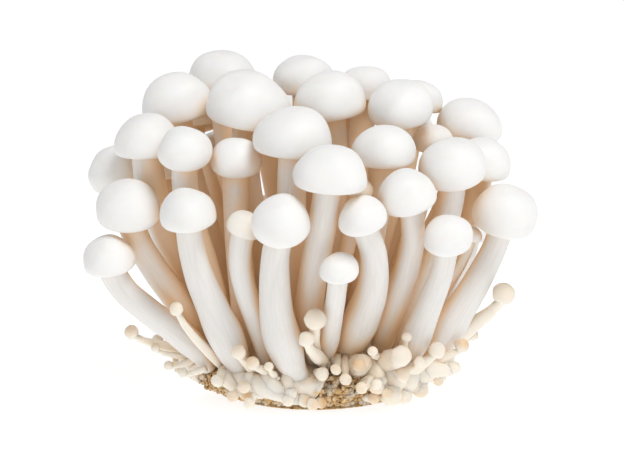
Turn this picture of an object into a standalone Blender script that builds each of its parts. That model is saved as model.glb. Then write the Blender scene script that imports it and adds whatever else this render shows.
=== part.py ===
"""A bunch of white shimeji mushrooms, standing on its cut butt of sawdust substrate.

Blender units are metres and +Z is up. The sizes below are in millimetres. The bunch's front
faces -Y. The origin is the middle of the bunch's box, on the surface that it stands on.
Each mushroom, cap and stem, grew as one piece. The white tissue at the foot and the pins on it
grew as another, and the brown substrate is the third kind of piece.
"""
import math
import random
from dataclasses import dataclass

import bpy
import numpy as np

MM = 0.001
SEED = 7

# The butt: a bowl of white tissue with a domed top, round a plug of substrate with a cut foot.
# A slope of 0 is the dome's top, 1 the widest rim and 2 the bowl's foot.
BUTT_CENTRE_X = 1.0
TISSUE_HALF_X = 37.0
TISSUE_HALF_Y = 33.0
TISSUE_RIM_Z = 8.0
TISSUE_RISE = 5.0
TISSUE_THICK = 2.4
TISSUE_END = 1.86
TISSUE_ROWS = (0.0, 0.15, 0.3, 0.42, 0.54, 0.69, 0.85, 1.0)
TISSUE_LUMPS = ((7, 0.7, 1.0), (11, 0.6, 0.0))
UNDER_SLOPES = (1.8, 1.5, 1.2, 1.0, 0.85, 0.56, 0.28, 0.0)
BUTT_SIDES = 44
BOWL_FOOT_Z = 0.8
BOWL_TUCK = 0.27
BOWL_BULGE = 0.25
NEIGHBOUR_GAP = 0.4
FOOT_RADIUS = 25.5
FOOT_RINGS = (0.55, 1.0)
CRUMB_DEPTH = 0.9

# The bare patch at the front right, where the substrate shows between the pins.
BARE_ANGLE = math.radians(-73)
BARE_CORE = math.radians(9)
BARE_FADE = math.radians(12)
BARE_REACH = 0.30
BARE_ROOT_RETREAT = 0.3
BARE_CRUMB_RISES = (0.54, 0.3)
BARE_EDGE = 0.05
BARE_EDGE_FADE = 0.12
EDGE_RETREAT = 7.5

# One cap, in parts of its half width, measured from its widest ring along its axis.
CAP_RISE = 0.92
CAP_MIDDLE = 0.18
RIM_RADIUS, RIM_DROP = 0.94, 0.20
GILL_RADIUS, GILL_DROP, GILL_RELIEF = 0.62, 0.07, 0.05
SHOULDER_RADII = (0.87, 0.53)

STEM_SIDES = 6
CAP_SIDES = 2 * STEM_SIDES
CAP_CORNERS = 1.0 / math.cos(math.pi / CAP_SIDES)
STEM_CORNERS = 1.07
PIN_SIDES = 5
STEM_STATIONS = (0.0, 0.07, 0.2, 0.38, 0.58, 0.78, 1.0)

# A stem is thickest a quarter of its way up, and its neck is at its full thinness at NECK_FROM.
ROOT_WIDTH = 0.62
BELLY_AT = 0.24
NECK_FROM = 0.84
NECK_CURVE = 0.8
LINE_BEND = 0.36
ROOT_LEAN = 0.9

# A pin's stem rings are at these parts of its length, and its head's rings are a rise and a
# radius in parts of its width.
PIN_STATIONS = (0.33, 0.67)
PIN_HEAD_RINGS = ((-0.33, 0.37), (0.0, 0.5), (0.32, 0.38))
PIN_ROOT_SINK = 1.4
PIN_ROOT_FLARE = 1.15
PIN_ROOT_LIMIT = 0.97
PIN_UPRIGHTNESS = 0.8
PIN_OVER_DOME = 0.6

# Crowded mushrooms lean away from each other until this much room is left between them.
# Each is a chain of balls with a cap of balls: a first one, then rings of a count, a reach,
# a rise and a radius, in parts of the cap's half width.
ROOM = 0.7
SPREAD_STEPS = 170
LEAST_GIVE = 0.01
ROOT_LIMIT = 0.93
STEM_CHAIN = 14
PIN_CHAIN = 6
CAP_BALL_RISE, CAP_BALL_RADIUS = 0.22, 0.64
CAP_BALL_RINGS = ((8, 0.42, 0.34, 0.48), (10, 0.62, 0.0, 0.38))
# The mushrooms in front give way mostly along the line of sight of someone looking 12 degrees
# down at the bunch, and the ones behind give way freely.
SIGHT = (0.0, math.cos(math.radians(12)), -math.sin(math.radians(12)))
FRONT_FREEDOM = 0.2
PIN_FREEDOM = 0.6
BACK_FREEDOM = 1.0


@dataclass
class Mushroom:
    """A mushroom: the middle and width of its cap, its lean to the right and its nod to the
    front in degrees, where its stem is rooted, the stem's thickest and thinnest widths, and how
    far the stem's middle bows to the right."""
    cap: tuple
    width: float
    root: tuple
    lean: float = 0.0
    nod: float = 8.0
    belly: float = 7.6
    neck: float = 6.2
    bow: float = 0.0


@dataclass
class Pin:
    """A young mushroom a few millimetres long: its head's middle and width, and its root."""
    head: tuple
    width: float
    root: tuple
    stem: float = 0.5


TOP_ROW = (
    Mushroom(cap=(-23.8, 20, 80.3), width=18.9, root=(-12, 9), lean=-5, nod=2),
    Mushroom(cap=(-1.5, 18, 80.0), width=17.2, root=(-2, 7), lean=0, nod=2),
    Mushroom(cap=(16.0, 22, 77.3), width=14.6, root=(8, 11), lean=3, nod=0, belly=7.0),
    Mushroom(cap=(28.7, 16, 75.0), width=14.0, root=(17, 9), lean=8, nod=2, belly=7.0),
)
SECOND_ROW = (
    Mushroom(cap=(-34.7, 4, 76.8), width=18.7, root=(-20, 1), lean=-5, nod=8),
    Mushroom(cap=(-16.3, -4, 76.9), width=22.4, root=(-10, -4), lean=9, nod=5, belly=8.2, neck=7.4),
    Mushroom(cap=(5.8, 0, 77.5), width=19.0, root=(3, -3), lean=-8, nod=8, belly=8.0, neck=7.0),
    Mushroom(cap=(22.9, -3, 76.6), width=17.1, root=(12, -2), lean=-4, nod=12),
    Mushroom(cap=(41.5, 8, 69.4), width=17.2, root=(27, 5), lean=4, nod=4),
    Mushroom(cap=(31.1, 2, 66.7), width=10.8, root=(19, 2), lean=4, nod=10, belly=5.6, neck=4.4),
)
THIRD_ROW = (
    Mushroom(cap=(-41.7, -10, 69.0), width=16.7, root=(-27, 0), lean=2, nod=5, belly=8.0, neck=7.6),
    Mushroom(cap=(-30.9, -20, 67.8), width=14.0, root=(-21, -12), lean=7, nod=20, neck=6.4),
    Mushroom(cap=(-17.4, -20, 67.0), width=13.2, root=(-16, -16), lean=5, nod=20, belly=7.0),
    Mushroom(cap=(-5.0, -22, 70.6), width=19.8, root=(-4, -12), lean=2, nod=4, neck=7.0),
    Mushroom(cap=(18.7, -19, 67.8), width=16.6, root=(11, -10), lean=2, nod=4, neck=6.4),
    Mushroom(cap=(36.6, -18, 63.6), width=17.8, root=(21, -10), lean=-5, nod=15, neck=7.0),
    Mushroom(cap=(45.1, -3, 62.4), width=15.4, root=(30, -3), lean=5, nod=8),
    Mushroom(cap=(-50.8, 2, 58.5), width=16.2, root=(-29, 7), lean=-20, nod=6),
)
FRONT_ROW = (
    Mushroom(cap=(-46.1, -16, 53.0), width=16.9, root=(-27, -7), lean=-2, nod=22, belly=8, neck=7),
    Mushroom(cap=(-30.8, -32, 54.2), width=14.8, root=(-18, -24), lean=-3, nod=14, belly=9.4, neck=6.4,
             bow=-1),
    Mushroom(cap=(4.0, -33, 65.2), width=18.3, root=(0, -19), lean=2, nod=3, neck=6.8, bow=-1),
    Mushroom(cap=(-7.2, -42, 54.1), width=15.0, root=(-3, -28), lean=-2, nod=28, belly=10.2, neck=6.6,
             bow=-3.5),
    Mushroom(cap=(13.2, -40, 55.1), width=12.2, root=(9, -20), lean=-12, nod=16, belly=9.4, bow=3.5),
    Mushroom(cap=(23.6, -34, 59.1), width=14.8, root=(17, -18), lean=-18, nod=16, belly=7.6, neck=6.0),
    Mushroom(cap=(34.1, -35, 49.0), width=12.8, root=(24, -20), lean=0, nod=24, belly=8.0, neck=5.6),
    Mushroom(cap=(50.3, -13, 51.7), width=17.0, root=(32, -12), lean=9, nod=20, belly=8.6, neck=6.4),
    Mushroom(cap=(-51.1, -22, 40.8), width=13.7, root=(-27, -16), lean=-8, nod=12, belly=7.6, neck=6.6),
    Mushroom(cap=(7.2, -42, 41.7), width=9.8, root=(5.5, -24), lean=2, nod=14, belly=5.6, neck=4.8),
    Mushroom(cap=(-16.2, -32, 50.3), width=9.0, root=(-11, -22), lean=18, nod=6, belly=6.0, neck=5.6),
    Mushroom(cap=(13.0, -22, 58.1), width=7.4, root=(6, -14), lean=8, nod=10, belly=4.6, neck=3.6),
    Mushroom(cap=(42.5, -12, 43.7), width=5.4, root=(27, -11), lean=6, nod=10, belly=3.6, neck=2.8),
)

# Tiers of mushrooms round the back: cap height, the oval of the caps' middles, how many, their
# width, and how far from straight back the tier reaches to each side, in degrees.
BACK_TIERS = (
    (67.0, 33.0, 40.0, 4, 16.5, 50),
    (56.0, 47.0, 43.0, 5, 16.0, 60),
    (40.0, 50.0, 45.0, 4, 13.5, 56),
)
BACK_ROOT_REACH = 0.52
BACK_PLACE_SCATTER = 1.5
BACK_HEIGHT_SCATTER = 3.0
BACK_TURN_SCATTER = 0.18
BACK_WIDTH_RANGE = (0.86, 1.12)
BACK_BELLY_RANGE = (7.0, 8.6)
BACK_NECK_RANGE = (5.6, 6.8)
BACK_LEAN, BACK_NOD, BACK_TILT_SCATTER = 10.0, -18.0, 5.0

FRONT_PINS = (
    Pin(head=(1.8, -38, 27.6), width=5.6, root=(3.5, -23)),
    Pin(head=(-0.6, -39, 23.0), width=4.0, root=(2.0, -25), stem=0.6),
    Pin(head=(-33.9, -31, 28.5), width=3.6, root=(-23, -21)),
    Pin(head=(-46.6, -14, 18.1), width=3.8, root=(-31, -9)),
    Pin(head=(-40.4, -14, 14.1), width=2.4, root=(-31, -12)),
    Pin(head=(-37.0, -15, 9.4), width=2.4, root=(-30, -14)),
    Pin(head=(-33.0, -19, 8.5), width=2.6, root=(-27, -20)),
    Pin(head=(48.1, -12, 29.2), width=6.0, root=(34, -7)),
    Pin(head=(38.7, -16, 16.2), width=3.8, root=(32, -15)),
    Pin(head=(36.9, -17, 10.8), width=3.8, root=(30, -19), stem=0.8),
    Pin(head=(32.2, -26, 16.7), width=4.5, root=(25, -23)),
    Pin(head=(28.0, -29, 14.0), width=3.0, root=(22, -25)),
    Pin(head=(23.2, -33, 16.7), width=5.4, root=(19, -26), stem=0.7),
    Pin(head=(23.6, -31, 11.6), width=3.6, root=(20, -27)),
    Pin(head=(24.8, -30, 20.9), width=2.6, root=(21, -23)),
    Pin(head=(16.0, -34, 18.2), width=2.6, root=(17, -25)),
    Pin(head=(13.0, -30, 13.0), width=5.2, root=(13, -20), stem=0.8),
    Pin(head=(3.3, -31, 11.1), width=3.6, root=(1.5, -25)),
    Pin(head=(6.4, -31, 12.0), width=2.9, root=(5.5, -21)),
    Pin(head=(8.9, -31, 10.6), width=3.2, root=(9, -21)),
    Pin(head=(13.1, -31, 8.4), width=3.1, root=(19, -25)),
    Pin(head=(15.6, -31, 8.6), width=2.8, root=(19, -24)),
    Pin(head=(18.6, -31, 7.3), width=2.9, root=(19, -27)),
    Pin(head=(16.0, -29, 4.8), width=3.0, root=(20, -28)),
    Pin(head=(-18.1, -34, 18.0), width=3.8, root=(-15, -27)),
    Pin(head=(-14.5, -34, 15.1), width=3.4, root=(-10, -28)),
    Pin(head=(-10.3, -34, 14.3), width=2.4, root=(-7, -29)),
    Pin(head=(-23.7, -29, 9.0), width=3.4, root=(-21, -24)),
    Pin(head=(-17.0, -31, 8.0), width=3.4, root=(-15, -27)),
    Pin(head=(-19.4, -31, 5.8), width=3.1, root=(-17, -27)),
    Pin(head=(-15.5, -31, 3.6), width=3.0, root=(-13, -29)),
    Pin(head=(-5.5, -33, 5.0), width=3.2, root=(-5, -30)),
    Pin(head=(0.8, -32, 3.6), width=3.2, root=(-2.5, -30)),
)
BACK_PINS = 15
BACK_PIN_ROOT = 0.86
BACK_PIN_SWEEP = (math.radians(-8), math.radians(188))
BACK_PIN_REACH = (1.02, 1.16)
BACK_PIN_HEIGHT = (6.0, 17.0)
BACK_PIN_WIDTH = (2.6, 4.6)
BACK_PIN_SCATTER = 0.3

FLESH_COLOUR = (0.88, 0.86, 0.83)
MYCELIUM_COLOUR = (0.84, 0.80, 0.73)
SAWDUST_COLOUR = (0.42, 0.27, 0.13)


def unit(vector):
    """The vector at length one."""
    x, y, z = vector
    length = math.sqrt(x * x + y * y + z * z)
    return np.array((x / length, y / length, z / length))


def cross(a, b):
    """The vector square to both."""
    return np.array((a[1] * b[2] - a[2] * b[1], a[2] * b[0] - a[0] * b[2], a[0] * b[1] - a[1] * b[0]))


def along(a, b):
    """How far vector a reaches along b."""
    return a[0] * b[0] + a[1] * b[1] + a[2] * b[2]


def bareness(turn):
    """How bare the butt is in a direction: 1 in the middle of the bare patch, 0 away from it."""
    away = abs((turn - BARE_ANGLE + math.pi) % (2 * math.pi) - math.pi)
    t = min(1.0, max(0.0, (away - BARE_CORE) / BARE_FADE))
    return 0.5 + 0.5 * math.cos(math.pi * t)


def tissue_keep(turn):
    """How much of its full slope the tissue covers in a direction."""
    return 1.0 - (1.0 - BARE_REACH) * bareness(turn)


def butt_surface(x, y, limit=ROOT_LIMIT):
    """The point of the tissue's dome over a place in plan, and the way that it faces."""
    p = (x - BUTT_CENTRE_X) / TISSUE_HALF_X
    q = y / TISSUE_HALF_Y
    reach = math.hypot(p, q)
    limit *= 1.0 - BARE_ROOT_RETREAT * bareness(math.atan2(q, p))
    if reach > limit:
        p, q = p * limit / reach, q * limit / reach
    height = math.sqrt(1.0 - p * p - q * q)
    rise = TISSUE_RIM_Z + TISSUE_RISE * height
    point = np.array((BUTT_CENTRE_X + TISSUE_HALF_X * p, TISSUE_HALF_Y * q, rise))
    return point, unit((p / TISSUE_HALF_X, q / TISSUE_HALF_Y, height / TISSUE_RISE))


def clear_of_butt(middle, radius):
    """The middle of a ball, moved out sideways as far as it would sink into the bowl."""
    x, y, z = middle
    p, q = (x - BUTT_CENTRE_X) / TISSUE_HALF_X, y / TISSUE_HALF_Y
    down = min(1.0, max(0.0, (TISSUE_RIM_Z - z) / (TISSUE_RIM_Z - BOWL_FOOT_Z)))
    outline = 1.0 - BOWL_TUCK * down * down + (radius + NEIGHBOUR_GAP) / TISSUE_HALF_Y
    stretch = max(1.0, outline / math.hypot(p, q)) if z < TISSUE_RIM_Z + radius else 1.0
    return np.array((BUTT_CENTRE_X + TISSUE_HALF_X * p * stretch, y * stretch, z))


def over_butt(line, radius):
    """A pin's line, raised where it would run through the dome."""
    for point in line[1:]:
        reach = math.hypot((point[0] - BUTT_CENTRE_X) / TISSUE_HALF_X, point[1] / TISSUE_HALF_Y)
        if reach < 1.0:
            dome = TISSUE_RIM_Z + TISSUE_RISE * math.sqrt(1.0 - reach * reach)
            point[2] = max(point[2], dome + PIN_OVER_DOME * radius)
    return line


def bent_line(start, start_way, end, end_way, count):
    """Points of one smooth curve that leaves start and reaches end along the given ways."""
    reach = LINE_BEND * math.sqrt(sum((end - start) ** 2))
    t = np.linspace(0.0, 1.0, count)[:, None]
    second, third = start + start_way * reach, end - end_way * reach
    return (1 - t) ** 3 * start + 3 * (1 - t) ** 2 * t * second + 3 * (1 - t) * t * t * third + t ** 3 * end


def stem_width(t, belly, neck):
    """Half the stem's thickness over its corners at t, from 0 at the root to 1 under the cap."""
    if t < BELLY_AT:
        root = ROOT_WIDTH * belly
        return 0.5 * STEM_CORNERS * (root + (belly - root) * math.sin(0.5 * math.pi * t / BELLY_AT))
    up = min(1.0, (t - BELLY_AT) / (NECK_FROM - BELLY_AT))
    return 0.5 * STEM_CORNERS * (belly + (neck - belly) * up ** NECK_CURVE)


class Grown:
    """A mushroom or pin as it crowds with the others: a bent chain of balls and its cap's balls."""

    def __init__(self, spec, freedom, count):
        self.spec, self.freedom = spec, freedom
        self.is_pin = isinstance(spec, Pin)
        self.half = 0.5 * spec.width * (1.0 if self.is_pin else CAP_CORNERS)
        if self.is_pin:
            self.start, normal = butt_surface(*spec.root, limit=PIN_ROOT_LIMIT)
            self.middle = clear_of_butt(np.array(spec.head, float), self.half)
            self.axis = unit(unit(self.middle - self.start) + np.array((0, 0, PIN_UPRIGHTNESS)))
            self.widths = np.full(count, 0.5 * spec.stem * spec.width)
            self.cap_offsets, self.cap_radii = np.zeros((1, 3)), np.array([self.half])
        else:
            self.start, normal = butt_surface(*spec.root)
            lean, nod = math.radians(spec.lean), math.radians(spec.nod)
            self.axis = unit((math.tan(lean), -math.tan(nod), 1.0))
            self.middle = np.array(spec.cap, float) - self.axis * CAP_MIDDLE * self.half
            steps = np.linspace(0.0, 1.0, count)
            self.widths = np.array([stem_width(t, spec.belly, spec.neck) for t in steps])
            self.cap_offsets, self.cap_radii = self.cap_balls()
        root_way = unit(normal + ROOT_LEAN * unit(self.middle - self.start))
        self.rest = bent_line(self.start, root_way, self.middle, self.axis, count)
        if self.is_pin:
            self.rest = over_butt(self.rest, self.widths[0])
        else:
            self.rest[:, 0] += spec.bow * np.sin(math.pi * np.linspace(0.0, 1.0, count) ** 0.8)
        self.drift = np.zeros_like(self.rest)
        self.cap_drift = np.zeros(3)

    def cap_balls(self):
        """Places and radii of the balls that fill a cap."""
        side = unit(cross(self.axis, (0.0, 1.0, 0.1)))
        other = cross(self.axis, side)
        offsets, radii = [self.axis * CAP_BALL_RISE * self.half], [CAP_BALL_RADIUS * self.half]
        for count, reach, rise, radius in CAP_BALL_RINGS:
            for k in range(count):
                turn = 2 * math.pi * k / count
                out = side * math.cos(turn) + other * math.sin(turn)
                offsets.append((out * reach + self.axis * rise) * self.half)
                radii.append(radius * self.half)
        return np.array(offsets), np.array(radii)

    def line(self):
        """The stem's middle line as it stands now."""
        return self.rest + self.drift

    def balls(self):
        """Every ball's place."""
        return np.concatenate((self.line(), self.middle + self.cap_drift + self.cap_offsets))

    def radii(self):
        """Every ball's radius."""
        return np.concatenate((self.widths, self.cap_radii))

    def give_way(self, push, touched):
        """Moves the stem and cap by the pushes on their balls, and keeps the stem smooth."""
        count = len(self.widths)
        caps = touched[count:]
        if caps.any():
            self.cap_drift = self.cap_drift + push[count:].sum(axis=0) / max(1, caps.sum())
        self.drift[:-1] += push[:count - 1]
        self.drift[-1] = self.cap_drift
        foot = self.start + self.drift[0]
        limit = PIN_ROOT_LIMIT if self.is_pin else ROOT_LIMIT
        self.drift[0] = butt_surface(foot[0], foot[1], limit)[0] - self.start
        for _ in range(2):
            self.drift[1:-1] = 0.25 * self.drift[:-2] + 0.5 * self.drift[1:-1] + 0.25 * self.drift[2:]


def eased(way, freedom):
    """A way to move, held to the line of sight as far as the mushroom's freedom is small."""
    sight = np.array(SIGHT)
    depth = (way * sight).sum(axis=1)[:, None]
    return way * freedom[:, None] + sight * depth * (1.0 - freedom[:, None])


def contact_pushes(places, radii, owners, freedom):
    """For each ball, the mean push out of the balls of other mushrooms, and whether it is touched."""
    gaps = [places[:, k][:, None] - places[:, k][None, :] for k in range(3)]
    distance = np.sqrt(gaps[0] ** 2 + gaps[1] ** 2 + gaps[2] ** 2) + 1e-6
    lack = radii[:, None] + radii[None, :] + ROOM - distance
    first, second = np.nonzero((lack > 0) & (owners[:, None] != owners[None, :]))
    way = np.stack([gap[first, second] / distance[first, second] for gap in gaps], axis=1)
    own, others = eased(way, freedom[first]), eased(way, freedom[second])
    give = np.maximum((way * (own + others)).sum(axis=1), LEAST_GIVE)
    steps = own * (lack[first, second] / give)[:, None]
    hits = np.bincount(first, minlength=len(radii))
    total = np.stack([np.bincount(first, steps[:, k], minlength=len(radii)) for k in range(3)], axis=1)
    return total / np.maximum(hits, 1)[:, None], hits > 0


def spread_apart(grown):
    """Lets crowded mushrooms and pins lean away from each other."""
    owners = np.concatenate([np.full(len(one.radii()), k) for k, one in enumerate(grown)])
    freedom = np.concatenate([np.full(len(one.radii()), one.freedom) for one in grown])
    radii = np.concatenate([one.radii() for one in grown])
    ends = np.cumsum([len(one.radii()) for one in grown])
    for _ in range(SPREAD_STEPS):
        places = np.round(np.concatenate([one.balls() for one in grown]), 7)
        push, touched = contact_pushes(places, radii, owners, freedom)
        for one, end in zip(grown, ends):
            own = slice(end - len(one.radii()), end)
            one.give_way(push[own], touched[own])


def scattered(draw, reach):
    """A drawn number within reach of zero."""
    return draw.uniform(-reach, reach)


def back_mushrooms(draw):
    """The mushrooms round the back, in tiers, each a little off its place."""
    found = []
    for height, half_x, half_y, count, width, spread in BACK_TIERS:
        for k in range(count):
            place = (k + scattered(draw, BACK_TURN_SCATTER)) / (count - 1)
            turn = math.radians(90 - spread + 2 * spread * place)
            x, y = half_x * math.cos(turn), half_y * math.sin(turn)
            cap_x = x + scattered(draw, BACK_PLACE_SCATTER)
            cap_y = y + scattered(draw, BACK_PLACE_SCATTER)
            found.append(Mushroom(
                cap=(cap_x, cap_y, height + scattered(draw, BACK_HEIGHT_SCATTER)),
                width=width * draw.uniform(*BACK_WIDTH_RANGE),
                root=(x * BACK_ROOT_REACH + BUTT_CENTRE_X, y * BACK_ROOT_REACH),
                lean=BACK_LEAN * math.cos(turn) + scattered(draw, BACK_TILT_SCATTER),
                nod=BACK_NOD * math.sin(turn) + scattered(draw, BACK_TILT_SCATTER),
                belly=draw.uniform(*BACK_BELLY_RANGE),
                neck=draw.uniform(*BACK_NECK_RANGE),
            ))
    return found


def back_pins(draw):
    """The pins round the sides and back of the butt."""
    found = []
    first, last = BACK_PIN_SWEEP
    for k in range(BACK_PINS):
        turn = first + (last - first) * (k + scattered(draw, BACK_PIN_SCATTER)) / (BACK_PINS - 1)
        out_x, out_y = TISSUE_HALF_X * math.cos(turn), TISSUE_HALF_Y * math.sin(turn)
        reach, rise = draw.uniform(*BACK_PIN_REACH), draw.uniform(*BACK_PIN_HEIGHT)
        head = (BUTT_CENTRE_X + reach * out_x, reach * out_y, rise)
        root = (BUTT_CENTRE_X + BACK_PIN_ROOT * out_x, BACK_PIN_ROOT * out_y)
        found.append(Pin(head=head, width=draw.uniform(*BACK_PIN_WIDTH), root=root))
    return found


def ring(centre, across, other, radius, sides):
    """Points of a ring."""
    turns = [2 * math.pi * k / sides for k in range(sides)]
    return [centre + (across * math.cos(a) + other * math.sin(a)) * radius for a in turns]


def line_at(line, t):
    """The point of a line of evenly numbered points at t, from 0 to 1."""
    place = t * (len(line) - 1)
    k = min(int(place), len(line) - 2)
    return line[k] + (line[k + 1] - line[k]) * (place - k)


def band(first, second, sides):
    """Faces between two rings of equal count, given by their first vertices and the count."""
    return [(first + k, first + (k + 1) % sides, second + (k + 1) % sides, second + k) for k in range(sides)]


def carried_across(across, way):
    """The sideways direction, turned as little as needed to be square to a new way."""
    return unit(across - way * along(across, way))


def mushroom_mesh(one):
    """Vertices and faces of a mushroom: root, stem rings, gill ring, rim, widest ring and dome."""
    spec, line, half, axis = one.spec, one.line(), one.half, one.axis
    middle = one.middle + one.cap_drift
    foot, normal = butt_surface(line[0][0], line[0][1])
    foot = foot + normal * NEIGHBOUR_GAP
    across = unit(cross(normal, (0.0, 1.0, 0.2)))
    points, faces = [foot], []
    way = normal
    for t in STEM_STATIONS:
        if t == 0.0:
            centre = foot
        elif t == 1.0:
            centre, way = middle, axis
        else:
            centre = line_at(line, t)
            way = unit(line_at(line, t + 0.05) - line_at(line, t - 0.05))
        across = carried_across(across, way)
        points += ring(centre, across, cross(way, across), stem_width(t, spec.belly, spec.neck), STEM_SIDES)
    faces += [(0, 1 + (k + 1) % STEM_SIDES, 1 + k) for k in range(STEM_SIDES)]
    for station in range(len(STEM_STATIONS) - 1):
        first = 1 + station * STEM_SIDES
        faces += band(first, first + STEM_SIDES, STEM_SIDES)
    top = 1 + (len(STEM_STATIONS) - 1) * STEM_SIDES
    other = cross(axis, across)

    gill = len(points)
    for k, point in enumerate(ring(middle, across, other, GILL_RADIUS * half, CAP_SIDES)):
        ridge = GILL_RELIEF if k % 2 else -GILL_RELIEF
        points.append(point - axis * (GILL_DROP + ridge) * half)
    for k in range(STEM_SIDES):
        here, after = top + k, top + (k + 1) % STEM_SIDES
        a, b, c = gill + 2 * k, gill + 2 * k + 1, gill + (2 * k + 2) % CAP_SIDES
        faces += [(here, b, a), (here, after, b), (after, c, b)]

    first = gill
    levels = [(RIM_RADIUS, -RIM_DROP), (1.0, 0.0)]
    levels += [(r, CAP_RISE * math.sqrt(1 - r * r)) for r in SHOULDER_RADII]
    for radius, rise in levels:
        following = len(points)
        points += ring(middle + axis * rise * half, across, other, radius * half, CAP_SIDES)
        faces += band(first, following, CAP_SIDES)
        first = following
    points.append(middle + axis * CAP_RISE * half)
    faces += [(first + k, first + (k + 1) % CAP_SIDES, len(points) - 1) for k in range(CAP_SIDES)]
    return points, faces


def pin_mesh(one):
    """Vertices and faces of a pin, whose root is sunk in the tissue."""
    line, width, axis = one.line(), one.spec.width, one.axis
    middle = one.middle + one.cap_drift
    normal = butt_surface(line[0][0], line[0][1], PIN_ROOT_LIMIT)[1]
    thick = 0.5 * one.spec.stem * width
    way = unit(line_at(line, 0.4) - line_at(line, 0.0))
    across = unit(cross(way, (0.0, 1.0, 0.2)))
    levels = [(line[0] - normal * PIN_ROOT_SINK, way, thick * PIN_ROOT_FLARE)]
    for t in PIN_STATIONS:
        levels.append((line_at(line, t), unit(line_at(line, t + 0.2) - line_at(line, t - 0.2)), thick))
    for rise, radius in PIN_HEAD_RINGS:
        levels.append((middle + axis * rise * width, axis, radius * width))
    points, faces = [], []
    for centre, way, radius in levels:
        across = carried_across(across, way)
        points += ring(centre, across, cross(way, across), radius, PIN_SIDES)
    faces.append(tuple(reversed(range(PIN_SIDES))))
    for level in range(len(levels) - 1):
        faces += band(level * PIN_SIDES, (level + 1) * PIN_SIDES, PIN_SIDES)
    last = (len(levels) - 1) * PIN_SIDES
    points.append(middle + axis * 0.5 * width)
    faces += [(last + k, last + (k + 1) % PIN_SIDES, len(points) - 1) for k in range(PIN_SIDES)]
    return points, faces


def polar_mesh(sides, rows, place):
    """A closed surface of rings between a first and a last pole; place(turn, row) gives a point."""
    points, faces = [place(0.0, 0)], []
    for row in range(1, rows - 1):
        points += [place(2 * math.pi * k / sides, row) for k in range(sides)]
    points.append(place(0.0, rows - 1))
    faces += [(0, 1 + k, 1 + (k + 1) % sides) for k in range(sides)]
    for row in range(rows - 3):
        first = 1 + row * sides
        faces += [tuple(reversed(face)) for face in band(first, first + sides, sides)]
    first = 1 + (rows - 3) * sides
    faces += [(first + (k + 1) % sides, first + k, len(points) - 1) for k in range(sides)]
    return points, faces


def butt_point(turn, slope, inset):
    """A point of the tissue's outside, or of a shape inset in it, at a slope from its top."""
    if slope < 1.0:
        reach = math.sin(0.5 * math.pi * slope)
        rise = TISSUE_RIM_Z + TISSUE_RISE * math.cos(0.5 * math.pi * slope)
    else:
        down = slope - 1.0
        reach = 1.0 - BOWL_TUCK * down * down
        rise = TISSUE_RIM_Z - (TISSUE_RIM_Z - BOWL_FOOT_Z) * down * (1.0 + BOWL_BULGE * (1.0 - down))
    rise -= inset * (1.0 - 0.5 * slope)
    x = BUTT_CENTRE_X + (TISSUE_HALF_X - inset) * reach * math.cos(turn)
    return np.array((x, (TISSUE_HALF_Y - inset) * reach * math.sin(turn), rise))


def tissue_mesh():
    """The white tissue: a dome and a bowl under it, cut back over the bare patch."""
    over = len(TISSUE_ROWS)

    def place(turn, row):
        keep = tissue_keep(turn)
        if row >= over:
            return butt_point(turn, UNDER_SLOPES[row - over] * keep, TISSUE_THICK)
        lump = sum(depth * math.sin(count * turn + start) for count, depth, start in TISSUE_LUMPS)
        lump *= max(0.0, 2 * row / (over - 1) - 1)
        return butt_point(turn, TISSUE_END * TISSUE_ROWS[row] * keep, -lump)

    return polar_mesh(BUTT_SIDES, over + len(UNDER_SLOPES), place)


def substrate_mesh(draw):
    """The sawdust plug: a flat cut foot, a crumbly bowl-shaped side and a dome under the tissue."""
    rows = 1 + len(FOOT_RINGS) + len(UNDER_SLOPES)
    step = 2 * math.pi / BUTT_SIDES

    def place(turn, row):
        if row == 0:
            return np.array((BUTT_CENTRE_X, 0.0, 0.0))
        if row <= len(FOOT_RINGS):
            reach = FOOT_RINGS[row - 1] * FOOT_RADIUS - CRUMB_DEPTH * draw.random()
            return np.array((BUTT_CENTRE_X + reach * math.cos(turn), reach * math.sin(turn), 0.0))
        slope = UNDER_SLOPES[row - 1 - len(FOOT_RINGS)]
        keeps = [tissue_keep(turn + side * step) for side in (-2, -1, 0, 1, 2)]
        bare = min(1.0, max(0.0, (slope / TISSUE_END - max(keeps) - BARE_EDGE) / BARE_EDGE_FADE))
        retreat = EDGE_RETREAT * (max(keeps[1:4]) - min(keeps[1:4]))
        inset = TISSUE_THICK + NEIGHBOUR_GAP + retreat + CRUMB_DEPTH * draw.random()
        least, more = BARE_CRUMB_RISES
        return butt_point(turn, slope, inset - (least + more * draw.random()) * bare)

    points, faces = polar_mesh(BUTT_SIDES, rows, place)
    return points, [tuple(reversed(face)) for face in faces]


def clear_scene():
    """Removes whatever the open file holds."""
    for item in list(bpy.data.objects):
        bpy.data.objects.remove(item, do_unlink=True)


def material(name, colour, roughness, subsurface=0.0):
    """A Principled material."""
    made = bpy.data.materials.new(name)
    made.use_nodes = True
    shader = made.node_tree.nodes["Principled BSDF"]
    shader.inputs["Base Color"].default_value = (*colour, 1.0)
    shader.inputs["Roughness"].default_value = roughness
    shader.inputs["Metallic"].default_value = 0.0
    shader.inputs["Subsurface Weight"].default_value = subsurface
    return made


def add_object(name, points, faces, finish, shift, collection=None):
    """An object with a smooth-shaded mesh, from points in millimetres."""
    mesh = bpy.data.meshes.new(name)
    mesh.from_pydata([tuple((point - shift) * MM) for point in points], [], faces)
    mesh.materials.append(finish)
    mesh.shade_smooth()
    made = bpy.data.objects.new(name, mesh)
    (collection or bpy.context.scene.collection).objects.link(made)
    return made


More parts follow.
